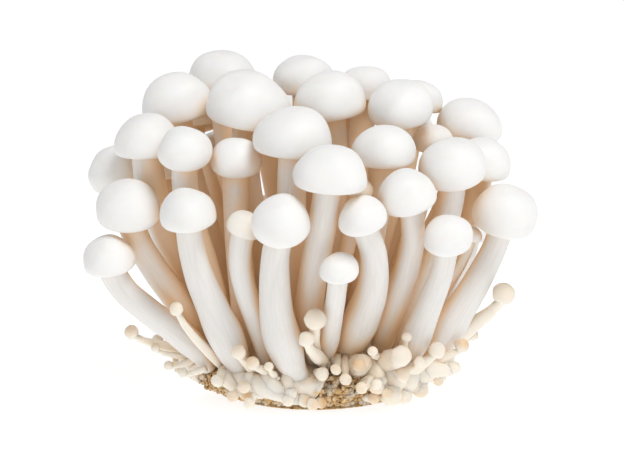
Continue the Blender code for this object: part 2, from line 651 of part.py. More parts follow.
def fuse(base, pieces):
    """Joins a collection's objects to the base with one Boolean union, and removes them."""
    union = base.modifiers.new("fuse", "BOOLEAN")
    union.operation = "UNION"
    union.operand_type = "COLLECTION"
    union.collection = pieces
    union.solver = "MANIFOLD"
    view = bpy.context.evaluated_depsgraph_get()
    fused = bpy.data.meshes.new_from_object(base.evaluated_get(view))
    base.modifiers.clear()
    base.data = fused
    for item in list(pieces.objects):
        bpy.data.objects.remove(item, do_unlink=True)
    bpy.data.collections.remove(pieces)


def main():
    clear_scene()
    draw = random.Random(SEED)
    front = [Grown(spec, FRONT_FREEDOM, STEM_CHAIN) for spec in TOP_ROW + SECOND_ROW + THIRD_ROW + FRONT_ROW]
    back = [Grown(spec, BACK_FREEDOM, STEM_CHAIN) for spec in back_mushrooms(draw)]
    pins = [Grown(spec, PIN_FREEDOM, PIN_CHAIN) for spec in list(FRONT_PINS) + back_pins(draw)]
    spread_apart(front + back + pins)

    mushrooms = [mushroom_mesh(one) for one in front + back]
    young = [pin_mesh(one) for one in pins]
    tissue, substrate = tissue_mesh(), substrate_mesh(draw)

    meshes = mushrooms + young + [tissue, substrate]
    everything = np.array([point for points, _ in meshes for point in points])
    low, high = everything.min(axis=0), everything.max(axis=0)
    shift = np.round(np.array((0.5 * (low[0] + high[0]), 0.5 * (low[1] + high[1]), 0.0)), 4)

    flesh = material("white_mushroom_flesh", FLESH_COLOUR, 0.5, 0.1)
    mycelium = material("white_mycelium", MYCELIUM_COLOUR, 0.75)
    sawdust = material("sawdust_substrate", SAWDUST_COLOUR, 0.95)
    for number, (points, faces) in enumerate(mushrooms, start=1):
        add_object(f"mushroom_{number:02d}", points, faces, flesh, shift)

    base = add_object("tissue_and_pins", *tissue, mycelium, shift)
    pieces = bpy.data.collections.new("pins")
    bpy.context.scene.collection.children.link(pieces)
    for number, (points, faces) in enumerate(young, start=1):
        add_object(f"pin_{number:02d}", points, faces, flesh, shift, pieces)
    fuse(base, pieces)

    add_object("substrate", *substrate, sawdust, shift)


main()
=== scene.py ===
"""A bunch of white shimeji mushrooms on its butt of sawdust substrate, dressed around its solids.

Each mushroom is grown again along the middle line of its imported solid: a fibrous bent stem, gills
under a turned-in rim and a domed cap. The butt gets its white tissue, its pins and its crumbs.
Blender units are metres, +Z is up and the bunch's front faces -Y.
"""

import math
import random

import bmesh
import bpy
import numpy as np
from bpy.props import FloatProperty, FloatVectorProperty, IntProperty, PointerProperty
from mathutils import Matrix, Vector, noise
from mathutils.bvhtree import BVHTree


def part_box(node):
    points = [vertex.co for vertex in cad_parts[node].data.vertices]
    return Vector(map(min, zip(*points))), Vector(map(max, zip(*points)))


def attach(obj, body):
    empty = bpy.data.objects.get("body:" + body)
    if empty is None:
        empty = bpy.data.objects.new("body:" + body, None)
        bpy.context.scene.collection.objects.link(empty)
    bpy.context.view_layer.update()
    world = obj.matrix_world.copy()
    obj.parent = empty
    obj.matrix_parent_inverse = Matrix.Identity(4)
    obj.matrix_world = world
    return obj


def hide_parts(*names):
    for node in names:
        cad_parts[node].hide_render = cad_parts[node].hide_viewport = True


bl_info = {
    "name": "White Shimeji Bunch",
    "version": (1, 0, 0),
    "blender": (4, 5, 0),
    "location": "3D View > Sidebar > Shimeji",
    "description": "Grows a bunch of white shimeji mushrooms, its butt and a plain studio stage",
    "category": "Add Mesh",
}

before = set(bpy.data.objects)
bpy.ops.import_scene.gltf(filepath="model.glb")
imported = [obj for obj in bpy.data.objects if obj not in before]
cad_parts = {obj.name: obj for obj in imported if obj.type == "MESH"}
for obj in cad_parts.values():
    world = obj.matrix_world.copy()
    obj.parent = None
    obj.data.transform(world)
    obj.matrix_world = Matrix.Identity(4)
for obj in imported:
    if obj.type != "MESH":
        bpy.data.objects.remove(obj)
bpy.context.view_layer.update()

MM = 0.001
SEED = 11

# The photograph's width in pixels, how far the bunch's middle stands from the picture's, and the
# camera's sensor and nearest view in its own units.
PHOTO_WIDTH = 624
AIM_RIGHT = -1.0
AIM_UP = 3.0
SENSOR_WIDTH = 36.0
NEAREST_VIEW = 0.01

# How a packed mushroom is ringed, from its cap's pole down to the stem's root.
CAP_LEVELS = (1, 12, 12, 12, 12, 12)
STEM_LEVELS = (6, 6, 6, 6, 6, 6, 6)
CAP_WIDEST = 3
CAP_CORNERS = 1.0 / math.cos(math.pi / 12)
STEM_CORNERS = 1.07

# How a packed pin is ringed: its corners and levels, its head's first ring as a rise and a radius in
# parts of its width, and how far a ring may be from round.
PIN_CORNERS = 5
PIN_LEVELS = 6
FIRST_STALK_LEVEL = 4
PIN_RING_RISE = 0.32
PIN_RING_RADIUS = 0.38
HEAD_TOLERANCE = 0.03
STALK_TOLERANCE = 0.1


def linear(hex_colour):
    """An sRGB hex colour as the linear values that a shader takes."""
    parts = [int(hex_colour[k:k + 2], 16) / 255 for k in (1, 3, 5)]
    return tuple(c / 12.92 if c <= 0.04045 else ((c + 0.055) / 1.055) ** 2.4 for c in parts)


def colour_property(name, description, hex_colour):
    """A colour that a user can change, with its default as sRGB hex."""
    return FloatVectorProperty(
        name=name, description=description, subtype="COLOR", size=3, min=0.0, max=1.0,
        default=linear(hex_colour))


def length_property(name, description, millimetres):
    """A length that a user can change, with its default in millimetres."""
    return FloatProperty(name=name, description=description, unit="LENGTH", precision=5,
                         default=millimetres * MM)


class MushroomSettings(bpy.types.PropertyGroup):
    """Sizes and colours of the mushrooms."""
    stem_columns: IntProperty(
        name="Stem columns", description="Columns of faces round a stem", default=30, min=12)
    ring_step: length_property("Ring step", "Distance between a stem's rings", 1.7)
    root_sink: length_property("Root sink", "How far a stem's root sinks in the white tissue", 2.0)
    lump_size: length_property("Lump size", "Distance between the soft lumps of a cap", 9.0)
    lump_depth: length_property("Lump depth", "Height of the soft lumps of a cap", 0.22)
    fibre_width: length_property("Fibre width", "Width of a bundle of stem fibres", 0.45)
    skin_grain: length_property("Skin grain", "Distance between the fine pits of the cap's skin", 0.5)
    cap_colour: colour_property("Cap", "Colour of the cap's skin", "#F8F7F5")
    stem_colour: colour_property("Stem", "Colour of the stem's outer flesh", "#EFEDEA")
    gill_colour: colour_property("Gills", "Colour of the gills", "#F0E4D0")
    streak_colour: colour_property("Streaks", "Colour of the stem's fine streaks", "#DDD8CF")
    blotch_colour: colour_property("Blotches", "Colour of the cap's faint blotches", "#E6E3DE")
    # This colour is painted warm shade, laid on the flesh where the bunch hides it from the light.
    painted_shade_colour: colour_property("Painted shade", "Colour painted as warm shade deep inside the bunch", "#FCDDB7")
    young_colour: colour_property("Young flesh", "Colour of the smallest, youngest caps", "#F6ECDB")


class ButtSettings(bpy.types.PropertyGroup):
    """Sizes and colours of the tissue, the pins and the substrate."""
    half_width: length_property("Half width", "Half the white tissue's width, left to right", 36.0)
    half_depth: length_property("Half depth", "Half the white tissue's depth, front to back", 32.0)
    rim_height: length_property("Rim height", "Height of the tissue's widest rim", 8.0)
    dome_rise: length_property("Dome rise", "Rise of the dome over the rim", 5.0)
    foot_height: length_property("Foot height", "Height of the tissue's lower edge", 0.8)
    foot_radius: length_property("Foot radius", "Radius of the substrate's cut foot", 25.5)
    crumb_size: length_property("Crumb size", "Usual width of a crumb of sawdust", 1.5)
    button_count: IntProperty(
        name="Buttons", description="Tiny buttons added round the tissue's edge", default=38, min=0)
    lying_count: IntProperty(
        name="Lying pins", description="Stubby pins that lie fused on the tissue", default=46, min=0)
    tissue_colour: colour_property("Tissue", "Colour of the white tissue", "#FAF1E4")
    # This colour is painted cream shade, laid in the tissue's dips and on the tissue and pins deep inside
    # the bunch.
    painted_tissue_shade_colour: colour_property("Tissue shade", "Colour painted as shade in the tissue's dips and inside the bunch", "#F1DDC2")
    tip_colour: colour_property("Tips", "Colour of the pins' dried tips", "#DEB068")
    sawdust_colour: colour_property("Sawdust", "Colour of the sawdust", "#DDB67F")
    bran_colour: colour_property("Bran", "Colour of the palest flakes", "#F3E3BF")
    # This colour is painted dark shade in the low gaps between crumbs, and the real colour of damp flecks.
    gap_shade_and_damp_colour: colour_property("Gaps", "Colour painted as shade in the gaps between crumbs, and of damp flecks", "#5E4228")
    fuzz_colour: colour_property("Fuzz", "Colour of the threads over the sawdust", "#DDD8CE")


class StageSettings(bpy.types.PropertyGroup):
    """The camera's place, the floor and the lights."""
    azimuth: FloatProperty(
        name="Azimuth", description="Camera's turn to the right of the front", unit="ROTATION",
        default=0.0)
    elevation: FloatProperty(
        name="Elevation", description="Camera's height angle", unit="ROTATION",
        default=math.radians(12))
    distance: length_property("Distance", "Camera's distance from its aim", 700.0)
    aim_height: length_property("Aim height", "Height that the camera looks at", 43.0)
    lens: FloatProperty(
        name="Lens", description="Focal length in millimetres on a 36 mm sensor", default=152.4)
    floor_half: length_property("Floor half", "Half the side of the floor", 3000.0)
    floor_colour: colour_property("Floor", "Colour of the floor", "#A0A0A0")
    key_watts: FloatProperty(name="Key", description="Power of the key light", unit="POWER", default=4.9)
    fill_watts: FloatProperty(name="Fill", description="Power of the fill light", unit="POWER", default=0.9)
    sky: FloatProperty(name="Sky", description="Strength of the white surroundings", default=0.48)
    floor_glow: FloatProperty(name="Floor glow", description="Light of the table itself", default=0.82)


# The white tissue's lower edge is cut back round these turns, in degrees from the right side: the
# turn, how far it spreads to each side, and how much of the edge's way down is gone. The middle part
# of each patch is cut back in full.
BARE_PATCHES = (
    (-73, 21, 0.70), (-134, 30, 0.68), (-104, 14, 0.3), (-38, 16, 0.2),
    (-5, 16, 0.12), (60, 20, 0.2), (105, 24, 0.14), (160, 22, 0.25),
)
PATCH_MIDDLE = 0.4

# The butt's slope runs from 0 at the dome's top over 1 at its widest rim to 2 at the foot. These are
# the slope where the tissue ends, its thickness in millimetres and how far the bowl is drawn in.
TISSUE_END = 1.82
TISSUE_THICK = 2.4
BOWL_TUCK = 0.27
BOWL_BULGE = 0.25
FACING_STEP = 0.02

# A cap in parts of its half width: its dome's rise, the places across its gills, their outer edge,
# drop and relief, and its turned-in rim as radii and rises from the widest ring.
CAP_RISE = 0.92
CAP_COLUMNS_PER_STEM_COLUMN = 3
GILL_PLACES = (0.06, 0.2, 0.4, 0.6, 0.8, 0.95)
GILL_EDGE = 0.89
GILL_DROP = 0.18
GILL_DROP_BEND = 1.6
GILL_RELIEF = 0.03
GILL_RELIEF_FADE = 0.5
RIM_PROFILE = ((0.915, -0.205), (0.945, -0.212), (0.972, -0.18), (0.991, -0.12), (0.999, -0.05))
DOME_ROWS = 15

# How the caps differ: how full a dome is, its outline's lobes as counts and depths, how far its rim
# droops, how far it leans out, where its top sits, and how cream it still is when young.
CAP_FULLNESS = (0.86, 0.98)
CAP_LOBES = ((2, 0.018), (3, 0.012), (5, 0.006))
CAP_DROOP = 0.05
CAP_LEAN = 0.04
APEX_SCATTER = 0.07
APEX_SHIFTS = {"mushroom_21": (0.2, 0.0), "mushroom_06": (-0.08, 0.0), "mushroom_24": (0.08, 0.0)}
YOUNG_CAPS = {"mushroom_10": 0.2, "mushroom_29": 0.5, "mushroom_30": 0.7}

# A stem: its fewest rings, how much fuller it is high up, where the bunch opens, the flare under its
# cap, and how oval, twisted and lumpy it is. Two stout stems close the view through the bunch. No
# stem or pin starts out along FIRST_SIDE_FROM.
STEM_LEAST_ROWS = 14
STEM_FULLNESS = 1.04
STOUT_STEMS = {"mushroom_34": 1.9, "mushroom_01": 1.35}
FULL_FROM, FULL_AT = 30.0 * MM, 55.0 * MM
NECK_FLARE = 0.09
NECK_FLARE_LENGTH = 1.6 * MM
STEM_OVAL = 0.035
STEM_TWIST = 30.0
STEM_LUMPS = 0.02
STEM_LUMP_SIZE = 7.0 * MM
STEM_LUMP_STRETCH = np.array((1.0, 1.0, 0.5))
FIRST_SIDE_FROM = (0.0, 1.0, 0.2)

# Soft lumps are this many waves added up, with lengths in this range of the lumps' size.
LUMP_WAVES = 7
LUMP_LENGTHS = (0.8, 1.5)

# A pin: its head's rows as rises and radii in parts of its width, its stalk's swelling along it, the
# rise over which its top turns tan, and how low its head may sit, in parts of its width.
PIN_HEAD = ((-0.38, 0.25), (-0.33, 0.38), (-0.22, 0.46), (-0.08, 0.498), (0.08, 0.495), (0.22, 0.45),
            (0.34, 0.365), (0.43, 0.25))
PIN_COLUMNS = 16
PIN_STALK = 0.25
PIN_STALK_ROWS = 7
PIN_STALK_SHAPE = ((0.0, 0.35, 0.8, 1.0), (1.3, 1.55, 1.05, 0.85))
PIN_LUMPS = 0.06
PIN_LUMP_SIZE = 2.5 * MM
PIN_TAN_FROM, PIN_TAN_SPAN = -0.2, 0.5
PIN_LEAST_HEIGHT = 0.65

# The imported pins: how tan the low and the high ones can be, how small the lowest heads stay, and
# where a pin's root is when its solid doesn't show it, in parts of its own place.
LEAST_PINS = 30
PIN_TAN_BELOW = 20.0 * MM
LOW_PIN_TAN = 0.75
LOW_PIN_TAN_BEND = 1.5
HIGH_PIN_TAN = 0.25
PIN_SMALL_BELOW = 14.0 * MM
PIN_SMALL_WIDTH = 3.6 * MM
ROOT_INWARD = 0.85
ROOT_LOWER = 0.8
ROOT_LEAST_HEIGHT = 3 * MM

# The tiny buttons: their slopes, widths in millimetres and lean, and how far they stand out of the
# tissue, in parts of their width.
BUTTON_SLOPES = (0.75, 1.7)
BUTTON_WIDTHS = (1.0, 2.0)
BUTTON_LEAN = 0.4
BUTTON_UPWARD = 0.8
BUTTON_OUT = (0.4, 0.9)
BUTTON_ALONG = (0.1, 0.5)
BUTTON_ROOT = 0.5
BUTTON_STALK = 0.32
BUTTON_TAN = (0.1, 1.0)

# The pins that lie on the tissue: the slopes where they start and end, their radii in millimetres,
# their heads' widths in radii, and how they wander, rise out of the tissue and turn up.
LYING_STARTS = (0.45, 0.7)
LYING_ENDS = (0.95, 1.7)
LYING_RADII = (1.1, 2.1)
LYING_HEADS = (1.75, 2.1)
LYING_SCATTER = 0.4
LYING_DRIFT = 0.2
LYING_LEAST_RUN = 0.2
LYING_EDGE_GAP = 0.2
LYING_STEPS = 5
LYING_RISE = 0.45
LYING_FACING = 0.7
LYING_UPWARD = 0.9
LYING_HEAD_OUT = 0.35
LYING_STALK = 0.9

# Pins that show at the front: the turn in degrees and the slope of the root and of the head, the
# radius in millimetres, the head's width in radii, and how tan its tip is.
FRONT_PINS = (
    (-126, 0.80, -89, 1.62, 1.5, 2.2, 1.0),
    (-119, 0.85, -96, 1.50, 1.9, 1.9, 0.5),
    (-112, 0.75, -101, 1.30, 1.7, 1.9, 0.3),
    (-133, 0.75, -121, 1.35, 1.6, 2.1, 0.6),
    (-52, 0.60, -57, 1.22, 3.2, 1.8, 0.1),
    (-45, 0.60, -49, 1.36, 2.6, 1.8, 0.15),
    (-60, 0.55, -64, 1.05, 2.2, 1.9, 0.2),
    (-38, 0.60, -40, 1.30, 2.3, 1.9, 0.3),
)

# The tissue's faces, its knobs and flutes in millimetres and turns, and its ragged edge.
TISSUE_COLUMNS = 240
TISSUE_ROWS = 44
TISSUE_UNDER_SLOPES = (0.28, 0.56, 0.85, 1.0, 1.2, 1.5, 1.8)
TISSUE_TOP_SLOPE = 0.06
TISSUE_KNOB = 3.4
TISSUE_RELIEF = 0.75
KNOB_SHARE = FLUTE_SHARE = 0.6
FLUTE_TURNS = 14
FLUTE_LENGTH = 0.5
EDGE_RAGS = 0.12
RAG_TURNS = 9
RAG_LEVEL = 3.0

# The sawdust's faces and relief, with its lengths in millimetres: the cut foot and its edge, how low
# the side may come in parts of that edge, the gap to the tissue, how far it stands out where it is
# bare, and its coarse and fine crumbs.
SAWDUST_COLUMNS = 500
SAWDUST_ROWS = 56
SAWDUST_SHOWN = (1.95, 0.5)
SAWDUST_HIDDEN = (0.4, 0.25, 0.1)
FOOT_RINGS = (0.5, 0.9)
FOOT_BEVEL = 0.3
FOOT_RELIEF = 0.3
FOOT_EDGE_RISE = 0.25
LEAST_SIDE_RISE = 1.2
TISSUE_GAP = 0.4
BARE_RISE = 0.7
BARE_EDGE = 0.1
CRUMB_RELIEF = 0.75
CRUMB_DEPTH = 2.2
FINE_CRUMBS = 2.6
COARSE_SHARE, FINE_SHARE = 0.65, 0.35

# The loose crumbs: how many are drawn, their widths in parts of a usual crumb's, and how they lie.
CRUMB_COUNT = 700
CRUMB_SPREAD = 0.9
CRUMB_EDGE_GAPS = (0.1, 0.05)
CRUMB_WIDTHS = (0.35, 1.1)
CRUMB_OUT = 0.35
CRUMB_LEAST_HEIGHT = 0.55
CRUMB_STRETCH = (0.6, 1.2)
CRUMB_ROUGHNESS = 0.3
CRUMB_LUMP_SIZE = 0.6
CRUMB_TONES = (-0.2, 0.9)

# The lamps' places and sizes in metres.
KEY_PLACE, KEY_SIZE = (0.3, -0.35, 0.97), 0.45
FILL_PLACE, FILL_SIZE = (0.1, -0.98, 0.15), 0.8

# The patterns' sizes: how far apart their spots, bands or pits are. The cap's velvet, the felt and
# the sawdust's chips are finer still on the real bunch, and are drawn as fine as a picture can hold.
CAP_BLOTCH_SIZE = 5.0 * MM
CAP_DENT_SIZE = 2.4 * MM
STEM_BAND_SIZE = 2.2 * MM
FIBRE_STRETCH = (1.0, 1.0, 1 / 24)
BAND_STRETCH = (1.0, 1.0, 1 / 5)
GILL_BLOTCH_SIZE = 1.5 * MM
TISSUE_SPOT_SIZE = 3.0 * MM
FELT_SIZE = 0.7 * MM
PIN_BLOTCH_SIZE = 2.5 * MM
PIN_PIT_SIZE = 0.5 * MM
FLAKE_SIZE = 0.9 * MM
THREAD_PATCH_SIZE = 4.0 * MM
CHIP_SIZE = 0.4 * MM

# The shade from which painted warm shade begins to be laid on the flesh, and where it is at its fullest.
PAINTED_SHADE_FROM, PAINTED_SHADE_TO = 0.45, 0.95

# Rays that find how open to the light a point is: how squarely they leave its surface, how far off
# it they start, how far they reach, and how many of the solids' walls they may leave on their way.
SKY_RAYS = 60
LEAST_FACING = 0.05
RAY_START = 0.4 * MM
RAY_REACH = 80 * MM
RAY_STEP = 0.05 * MM
RAY_WALLS = 3

# The shade is found at every third or fourth ring of a mushroom or the tissue, at so many turns.
MUSHROOM_SHADE_STEPS = (3, 12)
TISSUE_SHADE_STEPS = (4, 44)

# The finishes' numbers on the mushrooms and on the tissue, and the sockets of a node that mixes
# colours, by number because they share their names.
SKIN, STEM, GILLS = 0, 1, 2
TISSUE, PIN = 0, 1
MIX_SHARE, MIX_UNDER, MIX_OVER, MIXED = 0, 6, 7, 2


def clamped(value):
    """The value kept from 0 to 1."""
    return min(1.0, max(0.0, value))


def unit(vector):
    """The vector at length one."""
    return vector / np.linalg.norm(vector)


def spans(ring):
    """How far each of a ring's points is from the ring's middle."""
    return np.linalg.norm(ring - ring.mean(axis=0), axis=1)


def turns_round(columns):
    """Even turns once round."""
    return np.linspace(0.0, 2 * math.pi, columns, endpoint=False)


def lengths_along(line):
    """How far along a line each of its points is."""
    return np.concatenate(([0.0], np.cumsum(np.linalg.norm(np.diff(line, axis=0), axis=1))))


def rings_round(centres, ways, thickness, columns):
    """Round rings along a line: the sides that they turn from, the ways out of them and the points."""
    sides, others = carried_sides(ways, np.cross(ways[0], FIRST_SIDE_FROM))
    turns = turns_round(columns)
    out = sides[:, None] * np.cos(turns)[:, None] + others[:, None] * np.sin(turns)[:, None]
    return sides, others, out, centres[:, None] + out * thickness[:, None, None]


def packed_graph(node):
    """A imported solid's points, each once, and each point's neighbours."""
    index_of, points = {}, []
    own = []
    for vertex in node.data.vertices:
        key = tuple(round(c, 6) for c in vertex.co)
        if key not in index_of:
            index_of[key] = len(points)
            points.append(tuple(vertex.co))
        own.append(index_of[key])
    neighbours = [set() for _ in points]
    for edge in node.data.edges:
        a, b = own[edge.vertices[0]], own[edge.vertices[1]]
        if a != b:
            neighbours[a].add(b)
            neighbours[b].add(a)
    return np.array(points), neighbours


def levels_from(pole, neighbours, most):
    """The points in levels, each a step further from the pole along the edges."""
    levels, seen = [[pole]], {pole}
    while len(levels) < most:
        following = sorted({n for k in levels[-1] for n in neighbours[k]} - seen)
        if not following:
            break
        seen.update(following)
        levels.append(following)
    return levels


def smooth_curve(knots, values, places, end_slope=None):
    """Values on a smooth curve through the knots' values, at places between them."""
    slopes = np.gradient(values, knots, axis=0)
    if end_slope is not None:
        slopes[-1] = end_slope
    k = np.clip(np.searchsorted(knots, places) - 1, 0, len(knots) - 2)
    span = (knots[k + 1] - knots[k])[:, None]
    t = (places - knots[k])[:, None] / span
    start = (2 * t ** 3 - 3 * t ** 2 + 1) * values[k] + (t ** 3 - 2 * t ** 2 + t) * span * slopes[k]
    return start + (3 * t ** 2 - 2 * t ** 3) * values[k + 1] + (t ** 3 - t ** 2) * span * slopes[k + 1]


def carried_sides(ways, first_side):
    """For each way along a line, two directions square to it that turn as little as needed."""
    sides, side = [], first_side
    for way in ways:
        side = unit(side - way * side.dot(way))
        sides.append(side)
    sides = np.array(sides)
    return sides, np.cross(ways, sides)


def soft_lumps(places, size, draw):
    """Soft seeded lumps of about -1 to 1, about size apart, at an array of places."""
    total = np.zeros(places.shape[:-1])
    for _ in range(LUMP_WAVES):
        way = unit(np.array([draw.gauss(0, 1) for _ in range(3)]))
        pace = 2 * math.pi / (size * draw.uniform(*LUMP_LENGTHS))
        total += np.sin(places @ way * pace + draw.uniform(0, 2 * math.pi))
    return total / math.sqrt(LUMP_WAVES)


def sky_ways():
    """Directions spread evenly over a sphere."""
    golden = math.pi * (3 - math.sqrt(5))
    ways = []
    for k in range(SKY_RAYS):
        rise = 1 - 2 * (k + 0.5) / SKY_RAYS
        flat = math.sqrt(1 - rise * rise)
        ways.append(Vector((flat * math.cos(golden * k), flat * math.sin(golden * k), rise)))
    return ways


class Bunch:
    """What every piece needs of the whole bunch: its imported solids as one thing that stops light."""

    def __init__(self):
        points, faces = [], []
        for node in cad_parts.values():
            first = len(points)
            points += [vertex.co.copy() for vertex in node.data.vertices]
            faces += [[first + k for k in polygon.vertices] for polygon in node.data.polygons]
        self.tree = BVHTree.FromPolygons(points, faces)
        self.ways = sky_ways()

    def shade(self, point, normal):
        """How much of the light from outside a point misses: 0 in the open, 1 deep inside."""
        normal = Vector(normal)
        start = Vector(point) + normal * RAY_START
        light = most = 0.0
        for way in self.ways:
            facing = way.dot(normal)
            if facing > LEAST_FACING:
                most += facing
                light += facing * self.reaches_light(start, way)
        return 1.0 - light / most

    def reaches_light(self, start, way):
        """Whether a ray gets out of the bunch. A wall met from its inside is one that it leaves."""
        for _ in range(RAY_WALLS):
            hit, normal, _, _ = self.tree.ray_cast(start, way, RAY_REACH)
            if hit is None:
                return True
            if normal.dot(way) < 0:
                return False
            start = hit + way * RAY_STEP
        return False


class Shape:
    """A mesh in the making: points with their unbent places and a tone, and faces with a finish."""

    def __init__(self):
        self.points, self.grain, self.tone = [], [], []
        self.faces, self.finishes, self.grids = [], [], []
        self.count = 0

    def add_points(self, points, grain, tone):
        """Adds points and returns the first one's number."""
        first = self.count
        self.points.append(np.reshape(points, (-1, 3)))
        self.grain.append(np.reshape(grain, (-1, 3)))
        added = len(self.points[-1])
        self.tone.append(np.broadcast_to(np.asarray(tone, float).reshape(-1), added))
        self.count += added
        return first

    def add_grid(self, points, grain, tone, finishes):
        """Adds rows of points that close into rings, with a finish for each band between rows."""
        rows, columns, _ = points.shape
        first = self.add_points(points, grain, tone)
        self.grids.append((first, rows, columns))
        for row in range(rows - 1):
            self.add_band(first + row * columns, first + (row + 1) * columns, columns, finishes[row])
        return first

    def add_band(self, lower, upper, columns, finish):
        """Adds the faces between two rings of equal count."""
        self.faces += [(lower + k, lower + (k + 1) % columns, upper + (k + 1) % columns, upper + k)
                       for k in range(columns)]
        self.finishes += [finish] * columns

    def add_fan(self, ring, columns, pole, finish, over):
        """Closes a ring with faces to one point, over it or under it."""
        for k in range(columns):
            a, b = ring + k, ring + (k + 1) % columns
            self.faces.append((a, b, pole) if over else (b, a, pole))
        self.finishes += [finish] * columns

    def add_closed(self, points, grain, tone, finishes, start, end):
        """Adds a grid and closes its first ring to the start point and its last to the end point."""
        first = self.add_grid(points, grain, tone, finishes)
        rows, columns, _ = points.shape
        edge = np.asarray(tone, float).reshape(-1)
        foot = self.add_points(start, grain[0].mean(axis=0), edge[:1])
        top = self.add_points(end, grain[-1].mean(axis=0), edge[-1:])
        self.add_fan(first, columns, foot, finishes[0], over=False)
        self.add_fan(first + (rows - 1) * columns, columns, top, finishes[-1], over=True)
        return first

    def make(self, name, materials):
        """The shape as a Blender object."""
        mesh = bpy.data.meshes.new(name)
        mesh.from_pydata(np.concatenate(self.points).tolist(), [], self.faces)
        for finish in materials:
            mesh.materials.append(finish)
        mesh.polygons.foreach_set("material_index", self.finishes)
        mesh.shade_smooth()
        write_attribute(mesh, "grain", "FLOAT_VECTOR", np.concatenate(self.grain))
        write_attribute(mesh, "tone", "FLOAT", np.concatenate(self.tone))
        made = bpy.data.objects.new(name, mesh)
        bpy.context.scene.collection.objects.link(made)
        return made


def write_attribute(mesh, name, kind, values):
    """Stores a value or vector for each point, which the materials read by name."""
    attribute = mesh.attributes.new(name, kind, "POINT")
    field = "vector" if kind == "FLOAT_VECTOR" else "value"
    attribute.data.foreach_set(field, np.asarray(values, np.float32).ravel())


def write_shade(bunch, shape, made, row_step, column_parts):
    """Finds the shade at some points of each grid, and spreads it smoothly over the others."""
    mesh = made.data
    count = len(mesh.vertices)
    places, normals = np.zeros(count * 3), np.zeros(count * 3)
    mesh.vertices.foreach_get("co", places)
    mesh.vertex_normals.foreach_get("vector", normals)
    places, normals = places.reshape(-1, 3), normals.reshape(-1, 3)
    shade = np.full(count, -1.0)
    for first, rows, columns in shape.grids:
        row_picks = np.unique(np.append(np.arange(0, rows, row_step), rows - 1))
        column_picks = np.unique(np.linspace(0, columns, column_parts + 1).astype(int))[:-1]
        picks = first + row_picks[:, None] * columns + column_picks
        coarse = np.array([[bunch.shade(places[k], normals[k]) for k in line] for line in picks])
        closed = np.concatenate((coarse, coarse[:, :1]), axis=1)
        ends = np.append(column_picks, columns)
        wide = np.array([np.interp(np.arange(columns), ends, line) for line in closed])
        full = np.array([np.interp(np.arange(rows), row_picks, wide[:, c]) for c in range(columns)]).T
        shade[first:first + rows * columns] = full.ravel()
    for k in np.nonzero(shade < 0)[0]:
        shade[k] = bunch.shade(places[k], normals[k])
    write_attribute(mesh, "shade", "FLOAT", shade)


def place_in_bunch(made, nodes):
    """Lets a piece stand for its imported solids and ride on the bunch's one body."""
    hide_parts(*nodes)
    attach(made, "root")
    return made


def add_node(tree, kind, inputs, **fields):
    """Adds a shader node, sets its fields, and sets or links each of its inputs."""
    node = tree.nodes.new(kind)
    for name, value in fields.items():
        setattr(node, name, value)
    for name, value in inputs.items():
        if isinstance(value, bpy.types.NodeSocket):
            tree.links.new(value, node.inputs[name])
        else:
            node.inputs[name].default_value = value
    return node


def new_finish(name, **shader_values):
    """A material with its shader's own values set, its node tree and its shader."""
    finish = bpy.data.materials.new(name)
    finish.use_nodes = True
    shader = finish.node_tree.nodes["Principled BSDF"]
    for field, value in shader_values.items():
        shader.inputs[field.replace("_", " ")].default_value = value
    return finish, finish.node_tree, shader


def rgba(colour):
    """A colour property as the four values that a socket takes."""
    return (*colour, 1.0)


def laid_over(tree, colour, over, pattern, low, high, share=1.0):
    """A colour with another over it, up to a share, where a pattern goes from low to high."""
    cover = add_node(tree, "ShaderNodeMapRange",
                     {"Value": pattern, "From Min": low, "From Max": high, "To Max": share},
                     interpolation_type="SMOOTHSTEP")
    return add_node(tree, "ShaderNodeMix",
                    {MIX_SHARE: cover.outputs["Result"], MIX_UNDER: colour, MIX_OVER: rgba(over)},
                    data_type="RGBA").outputs[MIXED]


def with_painted_shade(tree, colour, painted_shade_colour, share):
    """The colour on the bunch's outside, with painted warm shade laid over it deep inside the bunch."""
    shade = add_node(tree, "ShaderNodeAttribute", {}, attribute_name="shade").outputs["Fac"]
    return laid_over(tree, colour, painted_shade_colour, shade, PAINTED_SHADE_FROM, PAINTED_SHADE_TO, share)


